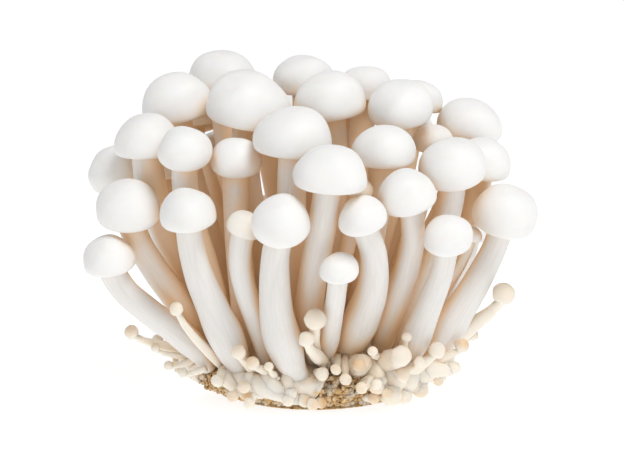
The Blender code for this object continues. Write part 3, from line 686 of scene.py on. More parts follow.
def cap_skin(sizes):
    """The grown skin of a beech mushroom's cap: white, dry and finely velvety. Its faint pits and
    drawn fibres break the light into a soft satin, and its thin edge lets some light through."""
    finish, tree, shader = new_finish(
        "beech_mushroom_cap_skin", Roughness=0.5, Subsurface_Weight=0.2, Subsurface_Scale=2.0 * MM,
        Subsurface_Radius=(1.0, 0.7, 0.5), Sheen_Weight=0.06, Sheen_Roughness=0.4, Specular_IOR_Level=0.35)
    grain = add_node(tree, "ShaderNodeAttribute", {}, attribute_name="grain").outputs["Vector"]
    young = add_node(tree, "ShaderNodeAttribute", {}, attribute_name="tone").outputs["Fac"]
    skin = add_node(tree, "ShaderNodeMix",
                    {MIX_SHARE: young, MIX_UNDER: rgba(sizes.cap_colour),
                     MIX_OVER: rgba(sizes.young_colour)}, data_type="RGBA").outputs[MIXED]
    clouds = add_node(tree, "ShaderNodeTexNoise",
                      {"Vector": grain, "Scale": 1 / CAP_BLOTCH_SIZE, "Detail": 3.0}).outputs["Fac"]
    blotched = laid_over(tree, skin, sizes.blotch_colour, clouds, low=0.45, high=0.8, share=0.22)
    # Painted warm shade over the cap's skin where neighbouring caps hide it from the light.
    colour = with_painted_shade(tree, blotched, sizes.painted_shade_colour, share=0.6)
    tree.links.new(colour, shader.inputs["Base Color"])
    pits = add_node(tree, "ShaderNodeTexNoise",
                    {"Vector": grain, "Scale": 1 / sizes.skin_grain, "Detail": 3.0}).outputs["Fac"]
    pitted = add_node(tree, "ShaderNodeBump",
                      {"Height": pits, "Distance": 0.1 * MM, "Strength": 0.35}).outputs["Normal"]
    dents = add_node(tree, "ShaderNodeTexNoise",
                     {"Vector": grain, "Scale": 1 / CAP_DENT_SIZE, "Detail": 2.0}).outputs["Fac"]
    dented = add_node(tree, "ShaderNodeBump", {"Height": dents, "Distance": 0.3 * MM,
                                               "Strength": 0.25, "Normal": pitted}).outputs["Normal"]
    tree.links.new(dented, shader.inputs["Normal"])
    return finish


def stem_flesh(sizes):
    """The fibrous outer flesh of a beech mushroom's stem: its fibres run up the bent stem in long
    fine streaks. It is white, with painted honey-coloured shade where the stems stand close."""
    finish, tree, shader = new_finish(
        "fibrous_stem_flesh", Roughness=0.46, Subsurface_Weight=0.2, Subsurface_Scale=2.5 * MM,
        Subsurface_Radius=(1.0, 0.7, 0.5), Specular_IOR_Level=0.4)
    grain = add_node(tree, "ShaderNodeAttribute", {}, attribute_name="grain").outputs["Vector"]
    long_grain = add_node(tree, "ShaderNodeVectorMath", {0: grain, 1: FIBRE_STRETCH}, operation="MULTIPLY")
    fibres = add_node(tree, "ShaderNodeTexNoise",
                      {"Vector": long_grain.outputs[0], "Scale": 1 / sizes.fibre_width,
                       "Detail": 3.0}).outputs["Fac"]
    wide_grain = add_node(tree, "ShaderNodeVectorMath", {0: grain, 1: BAND_STRETCH}, operation="MULTIPLY")
    waves = add_node(tree, "ShaderNodeTexNoise",
                     {"Vector": wide_grain.outputs[0], "Scale": 1 / STEM_BAND_SIZE,
                      "Detail": 2.0}).outputs["Fac"]
    streaked = laid_over(tree, rgba(sizes.stem_colour), sizes.streak_colour, fibres,
                         low=0.35, high=0.75, share=0.3)
    banded = laid_over(tree, streaked, sizes.streak_colour, waves, low=0.5, high=0.8, share=0.3)
    # Painted honey-coloured shade over the stem where the stems stand close and hide it from the light.
    colour = with_painted_shade(tree, banded, sizes.painted_shade_colour, share=1.0)
    tree.links.new(colour, shader.inputs["Base Color"])
    drawn = add_node(tree, "ShaderNodeBump",
                     {"Height": fibres, "Distance": 0.12 * MM, "Strength": 0.5}).outputs["Normal"]
    waved = add_node(tree, "ShaderNodeBump", {"Height": waves, "Distance": 0.3 * MM,
                                              "Strength": 0.3, "Normal": drawn}).outputs["Normal"]
    tree.links.new(waved, shader.inputs["Normal"])
    return finish


def gill_flesh(sizes):
    """The thin soft plates under the cap, creamier than its skin. They are matt, with painted warm
    shade between them."""
    finish, tree, shader = new_finish(
        "mushroom_gills", Roughness=0.7, Subsurface_Weight=0.25, Subsurface_Scale=1.5 * MM,
        Subsurface_Radius=(1.0, 0.65, 0.4), Specular_IOR_Level=0.3)
    grain = add_node(tree, "ShaderNodeAttribute", {}, attribute_name="grain").outputs["Vector"]
    clouds = add_node(tree, "ShaderNodeTexNoise",
                      {"Vector": grain, "Scale": 1 / GILL_BLOTCH_SIZE, "Detail": 2.0}).outputs["Fac"]
    plates = laid_over(tree, rgba(sizes.gill_colour), sizes.streak_colour, clouds,
                       low=0.4, high=0.7, share=0.35)
    # Painted warm shade over the gills, deep under the cap and inside the bunch.
    colour = with_painted_shade(tree, plates, sizes.painted_shade_colour, share=1.0)
    tree.links.new(colour, shader.inputs["Base Color"])
    return finish


def white_tissue(butt):
    """The white mycelium that the stems and pins grow from: a soft knobbly mass, matt, with painted
    cream shade in its dips and deep inside the bunch."""
    finish, tree, shader = new_finish(
        "white_mycelium", Roughness=0.65, Subsurface_Weight=0.2, Subsurface_Scale=2.0 * MM,
        Subsurface_Radius=(1.0, 0.7, 0.5), Specular_IOR_Level=0.3)
    grain = add_node(tree, "ShaderNodeAttribute", {}, attribute_name="grain").outputs["Vector"]
    relief = add_node(tree, "ShaderNodeAttribute", {}, attribute_name="tone").outputs["Fac"]
    # Painted cream shade in the tissue's dips, fuller where its relief sinks lower.
    shade_painted_in_dips = laid_over(tree, rgba(butt.tissue_colour), butt.painted_tissue_shade_colour, relief,
                       low=-0.2, high=-0.9, share=0.6)
    clouds = add_node(tree, "ShaderNodeTexNoise",
                      {"Vector": grain, "Scale": 1 / TISSUE_SPOT_SIZE, "Detail": 4.0}).outputs["Fac"]
    spotted = laid_over(tree, shade_painted_in_dips, butt.tip_colour, clouds, low=0.6, high=0.72, share=0.4)
    # Painted cream shade over the tissue deep inside the bunch.
    colour = with_painted_shade(tree, spotted, butt.painted_tissue_shade_colour, share=0.7)
    tree.links.new(colour, shader.inputs["Base Color"])
    felt = add_node(tree, "ShaderNodeTexNoise",
                    {"Vector": grain, "Scale": 1 / FELT_SIZE, "Detail": 4.0}).outputs["Fac"]
    felted = add_node(tree, "ShaderNodeBump",
                      {"Height": felt, "Distance": 0.3 * MM, "Strength": 0.5}).outputs["Normal"]
    tree.links.new(felted, shader.inputs["Normal"])
    return finish


def pin_flesh(butt):
    """Young mushrooms a few millimetres long: smooth and white like the stems, with tips that have
    dried to a golden tan."""
    finish, tree, shader = new_finish(
        "young_pin_flesh", Roughness=0.45, Subsurface_Weight=0.3, Subsurface_Scale=1.5 * MM,
        Subsurface_Radius=(1.0, 0.7, 0.45), Specular_IOR_Level=0.4)
    grain = add_node(tree, "ShaderNodeAttribute", {}, attribute_name="grain").outputs["Vector"]
    tip = add_node(tree, "ShaderNodeAttribute", {}, attribute_name="tone").outputs["Fac"]
    clouds = add_node(tree, "ShaderNodeTexNoise",
                      {"Vector": grain, "Scale": 1 / PIN_BLOTCH_SIZE, "Detail": 3.0}).outputs["Fac"]
    uneven = add_node(tree, "ShaderNodeMapRange",
                      {"Value": clouds, "From Min": 0.2, "From Max": 0.6, "To Min": 0.5},
                      interpolation_type="SMOOTHSTEP").outputs["Result"]
    dried = add_node(tree, "ShaderNodeMath", {0: tip, 1: uneven}, operation="MULTIPLY").outputs[0]
    tipped = add_node(tree, "ShaderNodeMix",
                      {MIX_SHARE: dried, MIX_UNDER: rgba(butt.tissue_colour),
                       MIX_OVER: rgba(butt.tip_colour)}, data_type="RGBA").outputs[MIXED]
    # Painted cream shade over the pins deep inside the bunch.
    colour = with_painted_shade(tree, tipped, butt.painted_tissue_shade_colour, share=0.6)
    tree.links.new(colour, shader.inputs["Base Color"])
    pits = add_node(tree, "ShaderNodeTexNoise",
                    {"Vector": grain, "Scale": 1 / PIN_PIT_SIZE, "Detail": 3.0}).outputs["Fac"]
    pitted = add_node(tree, "ShaderNodeBump",
                      {"Height": pits, "Distance": 0.1 * MM, "Strength": 0.4}).outputs["Normal"]
    tree.links.new(pitted, shader.inputs["Normal"])
    return finish


def sawdust(butt):
    """Packed hardwood sawdust and bran, cut flat: dry golden crumbs with painted brown shade in the
    gaps between them, damp brown flecks, and grey-white threads of mycelium across them. It is
    quite matt."""
    finish, tree, shader = new_finish("packed_sawdust", Roughness=0.92, Specular_IOR_Level=0.2)
    grain = add_node(tree, "ShaderNodeAttribute", {}, attribute_name="grain").outputs["Vector"]
    relief = add_node(tree, "ShaderNodeAttribute", {}, attribute_name="tone").outputs["Fac"]
    # Painted dark shade in the low gaps between the crumbs, set by the relief.
    crumbs = laid_over(tree, rgba(butt.gap_shade_and_damp_colour), butt.sawdust_colour, relief, low=-0.65, high=0.1)
    flakes = add_node(tree, "ShaderNodeTexNoise",
                      {"Vector": grain, "Scale": 1 / FLAKE_SIZE, "Detail": 4.0}).outputs["Fac"]
    bran = laid_over(tree, crumbs, butt.bran_colour, flakes, low=0.5, high=0.64, share=0.85)
    damp = laid_over(tree, bran, butt.gap_shade_and_damp_colour, flakes, low=0.42, high=0.34, share=0.75)
    wisps = add_node(tree, "ShaderNodeTexNoise",
                     {"Vector": grain, "Scale": 1 / THREAD_PATCH_SIZE, "Detail": 5.0}).outputs["Fac"]
    grown_over = laid_over(tree, damp, butt.fuzz_colour, wisps, low=0.5, high=0.64, share=0.75)
    tree.links.new(grown_over, shader.inputs["Base Color"])
    chips = add_node(tree, "ShaderNodeTexNoise",
                     {"Vector": grain, "Scale": 1 / CHIP_SIZE, "Detail": 4.0}).outputs["Fac"]
    chipped = add_node(tree, "ShaderNodeBump",
                       {"Height": chips, "Distance": 0.3 * MM, "Strength": 0.8}).outputs["Normal"]
    tree.links.new(chipped, shader.inputs["Normal"])
    return finish


def mushroom_form(name):
    """A packed mushroom's stem as a line and radii, and its cap as a middle, axis and half width."""
    points, neighbours = packed_graph(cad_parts[name])
    pole = max(range(len(points)), key=lambda k: len(neighbours[k]))
    expected = CAP_LEVELS + STEM_LEVELS
    levels = levels_from(pole, neighbours, len(expected))
    if tuple(len(level) for level in levels) != expected:
        raise RuntimeError(f"the solid {name} is not ringed as a mushroom is")
    rings = [points[level] for level in levels]
    middle = rings[CAP_WIDEST].mean(axis=0)
    half = spans(rings[CAP_WIDEST]).mean() / CAP_CORNERS
    stem = rings[len(CAP_LEVELS):][::-1]
    line = np.array([ring.mean(axis=0) for ring in stem])
    radii = np.array([spans(ring).mean() for ring in stem])
    outward = unit(np.array((middle[0], middle[1], 0.0))) * CAP_LEAN
    axis = unit(unit(rings[0][0] - middle) + outward)
    return line, radii / STEM_CORNERS, (middle, axis, half)


def grow_stem(shape, line, radii, axis, fullness, sizes, draw):
    """Adds a stem along its line, fuller high up, where it stands clear of the others. Returns its
    neck: the last ring's number, sides and radius, and the stem's length."""
    sunk = line[0] + unit(line[0] - line[1]) * sizes.root_sink
    line = np.concatenate((sunk[None, :], line))
    radii = np.concatenate((radii[:1], radii))
    knots = lengths_along(line)
    rows = max(STEM_LEAST_ROWS, round(knots[-1] / sizes.ring_step))
    places = np.linspace(0.0, knots[-1], rows)
    centres = smooth_curve(knots, line, places, axis)
    ways = np.gradient(centres, places, axis=0)
    ways[-1] = axis
    ways /= np.linalg.norm(ways, axis=1)[:, None]
    thickness = smooth_curve(knots, radii[:, None], places)[:, 0]
    thickness *= 1.0 + NECK_FLARE * np.exp((places - places[-1]) / NECK_FLARE_LENGTH)
    clear = np.clip((centres[:, 2] - FULL_FROM) / (FULL_AT - FULL_FROM), 0.0, 1.0)
    thickness *= 1.0 + (fullness - 1.0) * clear
    sides, others, out, plain = rings_round(centres, ways, thickness, sizes.stem_columns)
    turns = turns_round(sizes.stem_columns)
    twist = places[:, None] * draw.uniform(-STEM_TWIST, STEM_TWIST) + draw.uniform(0, math.pi)
    oval = STEM_OVAL * np.cos(2 * (turns[None, :] - twist))
    lumps = STEM_LUMPS * soft_lumps(plain * STEM_LUMP_STRETCH, STEM_LUMP_SIZE, draw)
    calm = np.minimum(1.0, (places[-1] - places) / NECK_FLARE_LENGTH)[:, None]
    swell = 1.0 + (oval + lumps) * calm
    points = centres[:, None] + out * (thickness[:, None] * swell)[:, :, None]
    flat = thickness[:, None]
    heights = np.broadcast_to(places[:, None], (rows, sizes.stem_columns))
    grain = np.stack((flat * np.cos(turns), flat * np.sin(turns), heights), axis=2)
    first = shape.add_grid(points, grain, 0.0, [STEM] * (rows - 1))
    foot = shape.add_points(centres[0], grain[0].mean(axis=0), 0.0)
    shape.add_fan(first, sizes.stem_columns, foot, STEM, over=False)
    last_ring = first + (rows - 1) * sizes.stem_columns
    return last_ring, sides[-1], others[-1], thickness[-1], knots[-1]


def cap_profile(stem_share, fullness):
    """A cap's rows from the stem out over the gills, round the rim and up the dome, as radii and
    rises in parts of its half width, the gills' relief, how lumpy each row is, and its finish."""
    rows = []
    for place in GILL_PLACES:
        radius = stem_share + (GILL_EDGE - stem_share) * place
        relief = GILL_RELIEF * math.sin(math.pi * place) ** GILL_RELIEF_FADE
        rows.append((radius, -GILL_DROP * place ** GILL_DROP_BEND, relief, 0.0, GILLS))
    for k, (radius, rise) in enumerate(RIM_PROFILE):
        rows.append((radius, rise, 0.0, (k + 1) / (len(RIM_PROFILE) + 1), SKIN))
    for k in range(DOME_ROWS):
        climb = 0.5 * math.pi * k / DOME_ROWS
        rows.append((math.cos(climb) ** fullness, CAP_RISE * math.sin(climb), 0.0, 1.0, SKIN))
    return rows


def shift_of_apex(name, draw):
    """How far right and back a cap's top sits from over its middle, in parts of its half width."""
    right, front = APEX_SHIFTS.get(
        name, (draw.uniform(-1, 1) * APEX_SCATTER, draw.uniform(-1, 1) * APEX_SCATTER))
    return np.array((right, -front, 0.0))


def grow_cap(shape, name, neck, cap, sizes, draw):
    """Adds a mushroom's cap to its stem's neck."""
    stem_top, side, other, stem_radius, length = neck
    middle, axis, half = cap
    columns = CAP_COLUMNS_PER_STEM_COLUMN * sizes.stem_columns
    turns = turns_round(columns)
    profile = cap_profile(stem_radius / half, draw.uniform(*CAP_FULLNESS))
    radii, rises, reliefs, lumpy = np.array([row[:4] for row in profile]).T[:, :, None]
    outline = sum(share * np.cos(count * (turns - draw.uniform(0, 2 * math.pi)))
                  for count, share in CAP_LOBES)
    droop = CAP_DROOP * np.cos(turns - draw.uniform(0, 2 * math.pi)) * radii ** 2
    spread = radii * (1.0 + outline * radii)
    ridges = np.where(np.arange(columns) % 2, 1.0, -1.0)
    heights = rises + droop - reliefs * (1.0 + ridges)
    flat = side * np.cos(turns)[:, None] + other * np.sin(turns)[:, None]
    points = middle + (flat[None] * spread[:, :, None] + axis * heights[:, :, None]) * half
    shift = shift_of_apex(name, draw)
    shift -= axis * shift.dot(axis)
    points += shift * half * (np.maximum(heights, 0.0)[:, :, None] / CAP_RISE) ** 2
    outward = flat[None] * radii[:, :, None] + axis * (np.maximum(rises, 0.0) / CAP_RISE)[:, :, None]
    lumps = soft_lumps(points, sizes.lump_size, draw) * sizes.lump_depth * lumpy
    points += outward * lumps[:, :, None]
    young = YOUNG_CAPS.get(name, 0.0)
    grain = np.stack((spread * half * np.cos(turns), spread * half * np.sin(turns),
                      length + heights * half), axis=2)
    finishes = [row[-1] for row in profile]
    first = shape.add_grid(points, grain, young, finishes[:-1])
    for k in range(sizes.stem_columns):
        here, after = stem_top + k, stem_top + (k + 1) % sizes.stem_columns
        a = first + CAP_COLUMNS_PER_STEM_COLUMN * k
        b, c = a + 1, a + 2
        d = first + (CAP_COLUMNS_PER_STEM_COLUMN * (k + 1)) % columns
        shape.faces += [(here, b, a), (here, c, b), (here, after, c), (after, d, c)]
        shape.finishes += [GILLS] * 4
    last = points[-1].mean(axis=0)
    top = last + axis * (CAP_RISE - rises[-1, 0]) * half
    pole = shape.add_points(top, grain[-1].mean(axis=0), young)
    shape.add_fan(first + (len(profile) - 1) * columns, columns, pole, SKIN, over=True)


def grow_mushroom(name, bunch, sizes, finishes):
    """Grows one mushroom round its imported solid's middle line."""
    draw = random.Random(f"{SEED} {name}")
    line, radii, cap = mushroom_form(name)
    shape = Shape()
    fullness = STOUT_STEMS.get(name, STEM_FULLNESS)
    neck = grow_stem(shape, line, radii, cap[1], fullness, sizes, draw)
    grow_cap(shape, name, neck, cap, sizes, draw)
    made = shape.make("grown_" + name, finishes)
    write_shade(bunch, shape, made, *MUSHROOM_SHADE_STEPS)
    return place_in_bunch(made, [name])


class Butt:
    """The butt's form: a bowl under a domed top, with its edge cut back over bare patches."""

    def __init__(self, sizes):
        low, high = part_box("substrate")
        self.sizes = sizes
        self.centre = np.array((0.5 * (low.x + high.x), 0.5 * (low.y + high.y)))

    def keep(self, turn):
        """How far down its slope the tissue reaches at a turn, from 0 to 1."""
        kept = 1.0
        for middle, spread, gone in BARE_PATCHES:
            away = abs((turn - math.radians(middle) + math.pi) % (2 * math.pi) - math.pi)
            t = clamped((away / math.radians(spread) - PATCH_MIDDLE) / (1.0 - PATCH_MIDDLE))
            kept -= gone * (0.5 + 0.5 * math.cos(math.pi * t))
        return max(kept, 1.0 - BARE_PATCHES[0][2])

    def place(self, turn, slope, inset):
        """A point at a turn, at a slope from the dome's top, and an inset from the outside."""
        sizes = self.sizes
        if slope < 1.0:
            reach = math.sin(0.5 * math.pi * slope)
            rise = sizes.rim_height + sizes.dome_rise * math.cos(0.5 * math.pi * slope)
        else:
            down = slope - 1.0
            reach = 1.0 - BOWL_TUCK * down * down
            fall = sizes.rim_height - sizes.foot_height
            rise = sizes.rim_height - fall * down * (1.0 + BOWL_BULGE * (1.0 - down))
        x = self.centre[0] + (sizes.half_width - inset) * reach * math.cos(turn)
        y = self.centre[1] + (sizes.half_depth - inset) * reach * math.sin(turn)
        return np.array((x, y, rise - inset * (1.0 - 0.5 * slope)))

    def facing(self, turn, slope):
        """The way that the outside faces at a turn and slope."""
        step = FACING_STEP
        around = self.place(turn + step, slope, 0.0) - self.place(turn - step, slope, 0.0)
        down = self.place(turn, slope + step, 0.0) - self.place(turn, max(0.0, slope - step), 0.0)
        return unit(np.cross(down, around))


def grow_tissue(shape, butt):
    """Adds the white tissue, knobbly outside and smooth where it lies on the substrate."""
    turns = turns_round(TISSUE_COLUMNS)
    over = np.linspace(TISSUE_END, TISSUE_TOP_SLOPE, TISSUE_ROWS)
    keeps = []
    for turn in turns:
        rag = noise.noise(Vector((RAG_TURNS * math.cos(turn), RAG_TURNS * math.sin(turn), RAG_LEVEL)))
        keeps.append(butt.keep(turn) * (1.0 + EDGE_RAGS * rag))
    points = np.array(
        [[butt.place(turn, slope * keep, TISSUE_THICK * MM) for turn, keep in zip(turns, keeps)]
         for slope in TISSUE_UNDER_SLOPES]
        + [[butt.place(turn, slope * keep, 0.0) for turn, keep in zip(turns, keeps)] for slope in over])
    relief = np.zeros(points.shape[:2])
    for row, slope in enumerate(over, len(TISSUE_UNDER_SLOPES)):
        for column, turn in enumerate(turns):
            spot = Vector(points[row, column]) / (TISSUE_KNOB * MM)
            knobs = 1.0 - 2.0 * noise.voronoi(spot)[0][0]
            flutes = noise.noise(Vector((FLUTE_TURNS * math.cos(turn), FLUTE_TURNS * math.sin(turn),
                                         FLUTE_LENGTH * spot.z)))
            relief[row, column] = KNOB_SHARE * knobs + FLUTE_SHARE * flutes
            facing = butt.facing(turn, slope * keeps[column])
            points[row, column] += facing * relief[row, column] * TISSUE_RELIEF * MM
    foot, top = (np.array((*butt.centre, butt.place(0.0, 0.0, inset)[2]))
                 for inset in (TISSUE_THICK * MM, 0.0))
    shape.add_closed(points, points, relief, [TISSUE] * (len(points) - 1), foot, top)


def packed_pins():
    """Each packed pin's head middle, axis and width, and its stalk's line and radius."""
    points, neighbours = packed_graph(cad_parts["tissue_and_pins"])
    found = []
    for pole, near in enumerate(neighbours):
        if len(near) != PIN_CORNERS:
            continue
        levels = levels_from(pole, neighbours, PIN_LEVELS)
        ring = points[levels[1]]
        rise = points[pole] - ring.mean(axis=0)
        width = spans(ring).mean() / PIN_RING_RADIUS
        off_rise = abs(np.linalg.norm(rise) - (0.5 - PIN_RING_RISE) * width)
        if max(np.ptp(spans(ring)), off_rise) > HEAD_TOLERANCE * width:
            continue
        axis = unit(rise)
        middle = points[pole] - axis * 0.5 * width
        stalk, radius = [], PIN_STALK * width
        for level in levels[FIRST_STALK_LEVEL:]:
            ring = points[level]
            if len(level) == PIN_CORNERS and np.ptp(spans(ring)) < STALK_TOLERANCE * spans(ring).mean():
                stalk.append(ring.mean(axis=0))
                radius = spans(ring).mean()
        found.append((middle, axis, width, stalk, radius))
    return found


def grow_pin(shape, middle, axis, width, line, radius, tan, draw):
    """Adds one pin: a stalk along its line from its root, and a round head with a tan top."""
    line = np.array([*line, middle + axis * PIN_HEAD[0][0] * width])
    knots = lengths_along(line)
    places = np.linspace(0.0, knots[-1], PIN_STALK_ROWS)
    centres = smooth_curve(knots, line, places, axis)
    ways = np.gradient(centres, places, axis=0)
    ways /= np.linalg.norm(ways, axis=1)[:, None]
    thickness = radius * np.interp(places / places[-1], *PIN_STALK_SHAPE)
    rises, shares = np.array(PIN_HEAD).T
    centres = np.concatenate((centres, middle + axis * rises[:, None] * width))
    ways = np.concatenate((ways, np.tile(axis, (len(PIN_HEAD), 1))))
    thickness = np.append(thickness, shares * width)
    tones = [0.0] * PIN_STALK_ROWS
    tones += [tan * clamped((rise - PIN_TAN_FROM) / PIN_TAN_SPAN) for rise in rises]
    _, _, out, plain = rings_round(centres, ways, thickness, PIN_COLUMNS)
    swell = 1.0 + PIN_LUMPS * soft_lumps(plain, PIN_LUMP_SIZE, draw)
    points = centres[:, None] + out * (thickness[:, None] * swell)[:, :, None]
    top = middle + axis * 0.5 * width
    shape.add_closed(points, points, np.repeat(tones, PIN_COLUMNS), [PIN] * (len(centres) - 1),
                     centres[0], top)


def grow_packed_pins(shape, butt, draw):
    """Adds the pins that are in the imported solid."""
    pins = packed_pins()
    if len(pins) < LEAST_PINS:
        raise RuntimeError(f"only {len(pins)} pins were found in the packed tissue")
    for middle, axis, width, stalk, radius in pins:
        if len(stalk) == 2:
            root = 2 * stalk[1] - stalk[0]
        else:
            near = stalk[-1] if stalk else middle
            root = np.array((*(butt.centre + (near[:2] - butt.centre) * ROOT_INWARD),
                             max(near[2] * ROOT_LOWER, ROOT_LEAST_HEIGHT)))
        if middle[2] < PIN_SMALL_BELOW:
            width = min(width, PIN_SMALL_WIDTH)
        if middle[2] < PIN_TAN_BELOW:
            tan = draw.uniform(0.0, LOW_PIN_TAN) ** LOW_PIN_TAN_BEND
        else:
            tan = draw.uniform(0.0, HIGH_PIN_TAN)
        grow_pin(shape, middle, axis, width, [root, *stalk[::-1]], radius, tan, draw)


def grow_buttons(shape, butt, draw):
    """Adds tiny buttons round the tissue's side."""
    for _ in range(butt.sizes.button_count):
        turn = draw.uniform(0, 2 * math.pi)
        slope = draw.uniform(*BUTTON_SLOPES) * butt.keep(turn)
        face = butt.facing(turn, slope)
        width = draw.uniform(*BUTTON_WIDTHS) * MM
        lean = [draw.uniform(-BUTTON_LEAN, BUTTON_LEAN) for _ in range(2)]
        axis = unit(face + np.array((*lean, draw.uniform(0.0, BUTTON_UPWARD))))
        skin = butt.place(turn, slope, 0.0)
        middle = skin + face * width * draw.uniform(*BUTTON_OUT) + axis * width * draw.uniform(*BUTTON_ALONG)
        middle[2] = max(middle[2], PIN_LEAST_HEIGHT * width)
        root = [skin - face * width * BUTTON_ROOT]
        grow_pin(shape, middle, axis, width, root, BUTTON_STALK * width, draw.uniform(*BUTTON_TAN), draw)


def grow_lying_pin(shape, butt, root, tip, radius, head, tan, draw):
    """Adds one stubby pin that lies on the tissue, from its root's turn and slope to its tip's."""
    (root_turn, root_slope), (tip_turn, tip_slope) = root, tip
    line = []
    for t in np.linspace(0.0, 1.0, LYING_STEPS):
        turn = root_turn + (tip_turn - root_turn) * t
        slope = root_slope + (tip_slope - root_slope) * t
        line.append(butt.place(turn, slope, -LYING_RISE * radius * t))
    width = radius * head
    upward = np.array((0.0, 0.0, draw.uniform(0.0, LYING_UPWARD)))
    axis = unit(unit(line[-1] - line[-2]) + LYING_FACING * butt.facing(tip_turn, tip_slope) + upward)
    middle = line[-1] + axis * LYING_HEAD_OUT * width
    middle[2] = max(middle[2], PIN_LEAST_HEIGHT * width)
    grow_pin(shape, middle, axis, width, line[:-1], LYING_STALK * radius, tan, draw)


def grow_lying_pins(shape, butt, draw):
    """Adds stubby pins that lie fused on the tissue, from the stems' roots to its lower edge."""
    for root_turn, root_slope, tip_turn, tip_slope, radius, head, tan in FRONT_PINS:
        root = (math.radians(root_turn), root_slope)
        tip = (math.radians(tip_turn), tip_slope)
        grow_lying_pin(shape, butt, root, tip, radius * MM, head, tan, draw)
    count = butt.sizes.lying_count
    for k in range(count):
        turn = 2 * math.pi * (k + draw.uniform(-LYING_SCATTER, LYING_SCATTER)) / count
        drift = draw.uniform(-LYING_DRIFT, LYING_DRIFT)
        least = min(butt.keep(turn), butt.keep(turn + drift))
        radius = draw.uniform(*LYING_RADII) * MM * (0.5 + 0.5 * least)
        start = draw.uniform(*LYING_STARTS) * least
        end = max(start + LYING_LEAST_RUN,
                  min(draw.uniform(*LYING_ENDS), (TISSUE_END - LYING_EDGE_GAP) * least))
        head, tan = draw.uniform(*LYING_HEADS), draw.uniform(0.0, 1.0) ** 2
        grow_lying_pin(shape, butt, (turn, start), (turn + drift, end), radius, head, tan, draw)


def crumbly(place, crumb_size):
    """How far crumbs of about a size stand out at a place, from about 1 down to below -1."""
    spot = Vector(place) / crumb_size
    coarse, fine = (1.0 - CRUMB_DEPTH * noise.voronoi(at)[0][0] for at in (spot, spot * FINE_CRUMBS))
    return COARSE_SHARE * coarse + FINE_SHARE * fine


def grow_substrate(shape, butt):
    """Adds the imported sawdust: a flat cut foot, and a crumbly side and top under the tissue."""
    sizes = butt.sizes
    turns = turns_round(SAWDUST_COLUMNS)
    slopes = np.concatenate((np.linspace(*SAWDUST_SHOWN, SAWDUST_ROWS), SAWDUST_HIDDEN))
    foot = [(share * sizes.foot_radius, 0.0) for share in FOOT_RINGS]
    foot += [(sizes.foot_radius - FOOT_BEVEL * MM, 0.0), (sizes.foot_radius, FOOT_EDGE_RISE * MM)]
    rows, relief = [], []
    for reach, rise in foot:
        rows.append([(butt.centre[0] + reach * math.cos(turn), butt.centre[1] + reach * math.sin(turn), rise)
                     for turn in turns])
        relief.append([FOOT_RELIEF] * len(turns))
    keeps = [butt.keep(turn) for turn in turns]
    for slope in slopes:
        line, heights = [], []
        for turn, keep in zip(turns, keeps):
            bare = clamped((slope / TISSUE_END - keep) / BARE_EDGE)
            point = butt.place(turn, slope, (TISSUE_THICK + TISSUE_GAP - BARE_RISE * bare) * MM)
            height = crumbly(point, sizes.crumb_size)
            line.append(point + butt.facing(turn, slope) * height * CRUMB_RELIEF * MM)
            heights.append(height)
        rows.append(line)
        relief.append(heights)
    points = np.array(rows)
    side = points[len(foot):]
    side[:, :, 2] = np.maximum(side[:, :, 2], LEAST_SIDE_RISE * FOOT_EDGE_RISE * MM)
    bottom = np.array((*butt.centre, 0.0))
    top = np.array((*butt.centre, butt.place(0.0, 0.0, TISSUE_THICK * MM)[2] - TISSUE_GAP * MM))
    shape.add_closed(points, points, np.array(relief), [0] * (len(rows) - 1), bottom, top)


def scatter_crumbs(shape, butt, draw):
    """Adds loose crumbs, sunk in the bare sawdust. One that would fall on tissue is left out."""
    form = bmesh.new()
    bmesh.ops.create_icosphere(form, subdivisions=2, radius=0.5)
    ball = np.array([tuple(v.co) for v in form.verts])
    faces = [tuple(v.index for v in face.verts) for face in form.faces]
    form.free()
    bare_widths = [spread * gone for _, spread, gone in BARE_PATCHES]
    least_gap, foot_gap = CRUMB_EDGE_GAPS
    for _ in range(CRUMB_COUNT):
        middle, spread, _ = draw.choices(BARE_PATCHES, bare_widths)[0]
        turn = math.radians(middle + draw.uniform(-CRUMB_SPREAD, CRUMB_SPREAD) * spread)
        least = TISSUE_END * butt.keep(turn)
        if least > SAWDUST_SHOWN[0] - least_gap:
            continue
        slope = draw.uniform(least, SAWDUST_SHOWN[0] - foot_gap)
        width = butt.sizes.crumb_size * draw.uniform(*CRUMB_WIDTHS)
        place = butt.place(turn, slope, (TISSUE_THICK + TISSUE_GAP - BARE_RISE) * MM)
        place = place + butt.facing(turn, slope) * CRUMB_OUT * width
        place[2] = max(place[2], CRUMB_LEAST_HEIGHT * width)
        stretch = np.array([draw.uniform(*CRUMB_STRETCH) for _ in range(3)])
        rough = 1.0 + CRUMB_ROUGHNESS * soft_lumps(ball, CRUMB_LUMP_SIZE, draw)
        points = place + ball * stretch * rough[:, None] * width
        points[:, 2] = np.maximum(points[:, 2], FOOT_EDGE_RISE * MM)
        first = shape.add_points(points, points, draw.uniform(*CRUMB_TONES))
        shape.faces += [tuple(first + k for k in face) for face in faces]
        shape.finishes += [0] * len(faces)


class SHIMEJI_OT_grow_mushrooms(bpy.types.Operator):
    """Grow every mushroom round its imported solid"""
    bl_idname = "shimeji.grow_mushrooms"
    bl_label = "Grow Mushrooms"

    def execute(self, context):
        sizes = context.scene.shimeji_mushrooms
        bunch = Bunch()
        finishes = [cap_skin(sizes), stem_flesh(sizes), gill_flesh(sizes)]
        for name in sorted(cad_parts):
            if name.startswith("mushroom_"):
                grow_mushroom(name, bunch, sizes, finishes)
        return {"FINISHED"}


